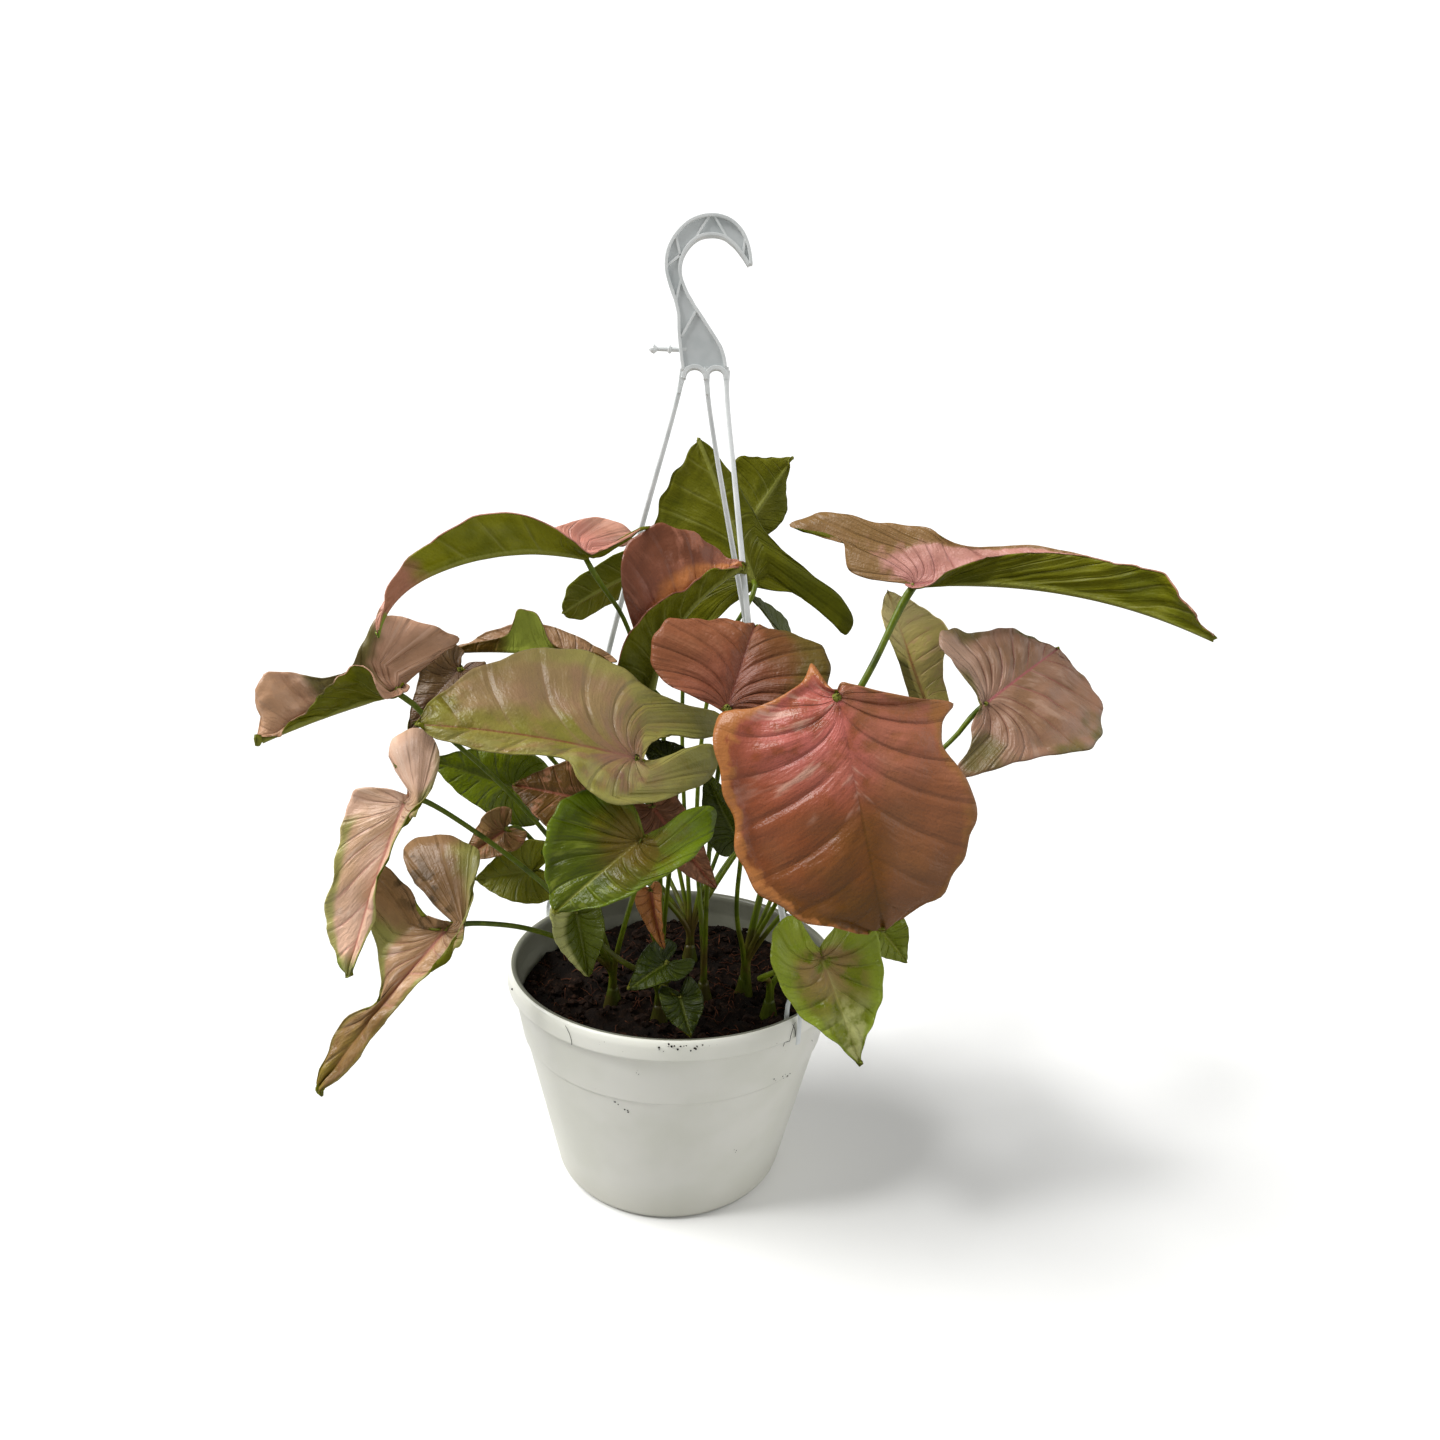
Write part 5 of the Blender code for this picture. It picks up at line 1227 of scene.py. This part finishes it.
def dusty(base="DCB398", second="C7A07A", *extra, **more):
    """A dusty pink leaf with an olive edge."""
    return tone(base, second, "E8C8B0", "C98A7C", "C07A6C",
                ("98994C", 0.85, ("out", 0.74, 0.9), ("run", 0.3, 0.42)),
                ("84923A", 0.8, ("run", 0.88, 0.97)), *extra, **more)


# Besides its colours a leaf may have its own count of veins, heights of its pillows (quilt) and folds
# (crumple) in millimetres, roughness (rough), underside (under), and on a side the start and height of a
# rolled edge (roll)
TONES = {
    "leaf_01": tone("8C4A30", "93523A", "AC6A54", "6E3520", "5F2C1C",
                    ("B8655C", 0.85, ("near", 0.62, 0.3), ("mid", 0.3, 0.6)),
                    ("5C3D0C", 0.9, ("run", 0.42, 0.9)), ("865A3C", 0.6, ("side", -0.05, -0.4)),
                    # The pale streaks near the joint are a painted highlight, added to the lamps' own gloss
                    ("C2A08D", 0.6, ("streak", 0.56, 0.7), ("near", 0.75, 0.35), ("side", -0.5, 0.1)),
                    ("A86C3A", 0.9, ("side", 0.92, 0.96)), ("8A6230", 0.5, ("side", -0.92, -0.98)),
                    veins=9, quilt=1.9, roll={1: (0.9, 2.6)}, rough=0.28),
    "leaf_02": tone("80482A", "6C3E1C", "925F42", "57301A", "6C3424",
                    ("5A3C16", 0.65, ("side", 0.1, 0.6)), ("965E40", 0.5, ("side", -0.2, -0.7)),
                    ("4C4A06", 0.6, ("side", 0.7, 0.95)), ("82483A", 0.5, ("near", 0.4, 0.15)),
                    veins=9, quilt=1.3, rough=0.4),
    "leaf_03": tone("857B38", "7B762C", "94734A", "877345", "76362B",
                    ("896C4A", 0.75, ("streak", 0.4, 0.6), ("run", 0.15, 0.4), ("run", 0.85, 0.6)),
                    ("875950", 0.6, ("near", 0.3, 0.06)),
                    ("61570A", 0.8, ("run", 0.72, 0.9), ("mid", 0.45, 0.55)),
                    ("94745A", 0.65, ("side", 0.15, 0.5), ("run", 0.3, 0.5), ("run", 0.95, 0.8)),
                    ("A09A5C", 0.5, ("side", -0.2, -0.6), ("mid", 0.4, 0.6)),
                    ("918D47", 0.7, ("out", 0.82, 0.95), ("run", 0.9, 0.6)),
                    veins=9, quilt=1.4, crumple=1.0),
    "leaf_04": greenish("4C5802", "3D4801", ("73591F", 0.7, ("near", 0.3, 0.06)),
                        ("6A7E14", 0.7, ("out", 0.86, 0.98)), veins=9, quilt=1.3),
    "leaf_05": deep("4A5402", "394401", ("AFB06D", 0.8, ("side", 0.55, 0.8))),
    "leaf_06": dusky("A16934", "BA7C4A", veins=8),
    "leaf_07": deep("2A3601", "394403"),
    "leaf_08": deep("303B04", "242F01"),
    "leaf_09": greenish("626C0A", "747A22", ("94704C", 0.75, ("near", 0.36, 0.06), ("mid", 0.35, 0.55)),
                        ("B8B878", 0.8, ("run", 0.66, 0.9), ("mid", 0.4, 0.55)),
                        ("86962A", 0.8, ("out", 0.7, 0.92)), veins=8, quilt=1.3, crumple=1.1),
    "leaf_10": greenish("6A7408", "7A8420"),
    "leaf_11": tone("926E58", "7C5C42", "A98A76", "8C4E48", "A0525A",
                    ("A58A78", 0.6, ("side", -0.2, -0.7), ("run", 0.6, 0.3)),
                    ("5E5A26", 0.75, ("out", 0.84, 0.96), ("wide", 0.4, 0.55)),
                    veins=11, quilt=1.5, crumple=1.1),
    "leaf_12": tone("E2CD7C", "C6BB58", "E8B890", "D6A274", "BA6D4A",
                    ("454D09", 0.9, ("side", -0.3, -0.45), ("run", 0.7, 0.5)),
                    ("7A6A38", 0.6, ("run", 0.6, 0.4)), ("E4D294", 0.8, ("run", 0.55, 0.8)), quilt=1.2),
    "leaf_13": tone("BE887A", "A87464", "D29C94", "9E5850", "8D4443",
                    ("B06C68", 0.3, ("near", 0.24, 0.06)), ("7D622E", 0.85, ("side", -0.86, -0.94)),
                    ("9D7154", 0.8, ("side", 0.3, 0.7), ("run", 0.4, 0.6)),
                    veins=14, quilt=1.2, crumple=0.9),
    "leaf_14": greenish("444A01", "373F01", ("62620C", 0.5, ("streak", 0.5, 0.65)), veins=10, quilt=1.1),
    "leaf_15": greenish("5C5C06", "70640E"),
    "leaf_16": tone("87523C", "6E3F28", "A86E56", "74402E", "6E4030",
                    ("B5723F", 0.9, ("out", 0.66, 0.5)),
                    ("A87460", 0.5, ("streak", 0.4, 0.6), ("run", 0.4, 0.1)), crumple=1.6, quilt=1.8),
    "leaf_17": tone("D39981", "B88068", "E6B8A4", "B07060", "A86A5C",
                    ("C98074", 0.6, ("near", 0.3, 0.1)), veins=12, crumple=1.0, under="tip"),
    "leaf_18": tone("BC9175", "A07A5C", "D8B298", "9A6A54", "8C6450",
                    ("5A5620", 0.9, ("run", 0.4, 0.5), ("run", 0.8, 0.7)),
                    ("B88E6C", 0.8, ("run", 0.78, 0.88)), veins=12, crumple=2.3),
    "leaf_19": tone("A07A58", "8C6A44", "BC9068", "84583E", "7A5A34", under="tab", crumple=1.1),
    "leaf_20": dusty(crumple=1.5, veins=9),
    "leaf_21": dusty("BC946E", "A67F54", ("6E5220", 0.8, ("run", 0.6, 0.8)),
                     ("907A28", 0.8, ("run", 0.88, 0.97)), ("86643E", 0.85, ("run", 0.46, 0.3)),
                     ("4E3A1A", 0.75, ("run", 0.36, 0.2), ("mid", 0.5, 0.6)), crumple=1.7, veins=11),
    "leaf_22": deep("6A7702", "566302"),
    "leaf_23": dusky("705021", "5C4018"),
    "leaf_24": dusky("957342", "7F5D35", crumple=1.2),
    "leaf_25": greenish("86861A", "70700E"),
    "leaf_26": greenish("7D820F", "696E03"),
    "leaf_27": deep("444D02", "3A4202"),
    "leaf_28": dusty("C8A084", "B48C6C"),
    "leaf_29": greenish("5C6D04", "4A5A02"),
    "leaf_30": tone("8E8C44", "787A34", "B29160", "B09A5A", "9A4A3A"),
    "leaf_31": deep("4A5404", "3A4402"),
    "leaf_32": dusky(),
    "leaf_33": tone("634A2B", "583921", "7C6143", "5C3F27", "5C3F27", crumple=1.2),
    "leaf_34": deep("444D04", "3A4404"),
    "leaf_35": dusky("84583A", "74482C"),
    "leaf_36": deep("363E04", "2C3602"),
}


def make_unders():
    """Undersides: duller, paler on the veins, olive or brownish."""
    olive = (("54580A", 0.7, ("wide", 0.42, 0.62)), ("80803A", 0.5, VEIN, FAINT), ("8A8C40", 0.7, MIDRIB),
             ("74742A", 0.5, ("streak", 0.55, 0.7)))
    tab = (("684A14", 0.6, ("wide", 0.42, 0.62)), ("8E6A3A", 0.5, VEIN, FAINT),
           ("A4B045", 0.95, ("run", 0.28, 0.36), ("run", 0.7, 0.6)))
    tip = olive + (("A66E5A", 0.9, ("run", 0.76, 0.87)), ("6C8A26", 0.9, ("run", 0.93, 0.97)))
    return {"olive": leaf_skin("leaf underside, olive", 3.3, "66660A", olive, 0.42, sheen=0.14),
            "tip": leaf_skin("leaf underside, olive with a rosy tip", 3.9, "7E7E14", tip, 0.42, sheen=0.14),
            "tab": leaf_skin("leaf underside, brown and green", 5.1, "553E08", tab, 0.45, sheen=0.14)}


# Stage, lights and camera

# Each lamp's name, the way towards it, its breadth in degrees and its strength
LAMPS = (("key", (-1.25, 0.0, 1.2), 42, 3.8), ("glint", (-0.9, -0.5, 1.3), 9, 0.8),
         ("fill", (1.4, -0.25, 0.45), 80, 1.6))


def make_floor():
    """A plain pale floor."""
    bm = bmesh.new()
    bmesh.ops.create_circle(bm, cap_ends=True, segments=96, radius=6.0)
    mesh = bpy.data.meshes.new("floor")
    bm.to_mesh(mesh)
    bm.free()
    floor = bpy.data.objects.new("floor", mesh)
    bpy.context.scene.collection.objects.link(floor)
    mat, tree = new_material("studio floor, matt white paint", 0.6)[:2]
    # White to the camera, and darker to all other light, so that its glow under the plant stays weak
    ray = add(tree, "LightPath", {})
    white = add(tree, "Mix", {"data_type": "RGBA", 6: linear("A8A8A6"), 7: linear("F4F4F2")},
                {0: ray.outputs["Is Camera Ray"]})
    mesh.materials.append(dressed(mat, white))


def light_studio():
    """A plain surround, bright to the camera and dim to the plant, and soft lamps."""
    world = bpy.data.worlds.new("studio")
    world.use_nodes = True
    bpy.context.scene.world = world
    tree = world.node_tree
    sky = tree.nodes["Background"]
    ray = add(tree, "LightPath", {})
    strength = add(tree, "MapRange", {3: 0.28, 4: 1.2}, {0: ray.outputs["Is Camera Ray"]})
    tree.links.new(strength.outputs[0], sky.inputs["Strength"])
    sky.inputs["Color"].default_value = (1, 1, 1, 1)
    for name, place, width, power in LAMPS:
        data = bpy.data.lights.new(name, "SUN")
        data.angle = math.radians(width)
        data.energy = power
        lamp = bpy.data.objects.new(name, data)
        lamp.rotation_euler = Vector(place).to_track_quat("Z", "Y").to_euler()
        bpy.context.scene.collection.objects.link(lamp)


def place_camera():
    """The photograph's camera."""
    data = bpy.data.cameras.new("view")
    data.sensor_width = 36.0
    data.lens = data.sensor_width * FOCAL_PIXELS / PHOTO_PIXELS
    data.clip_start = 0.01
    camera = bpy.data.objects.new("view", data)
    camera.location = EYE
    turn = Matrix.Rotation(math.radians(90 - PITCH), 3, "X") @ Matrix.Rotation(math.radians(ROLL), 3, "Z")
    camera.rotation_euler = turn.to_euler()
    bpy.context.scene.collection.objects.link(camera)
    bpy.context.scene.camera = camera
    bpy.context.scene.view_settings.view_transform = "Standard"


make_floor()
light_studio()
place_camera()
make_pot()
make_soil()
make_specks()
make_hanger()
make_stalks()
UNDERS = make_unders()
for number, row in enumerate(LEAVES):
    make_leaf(row, number + 1)
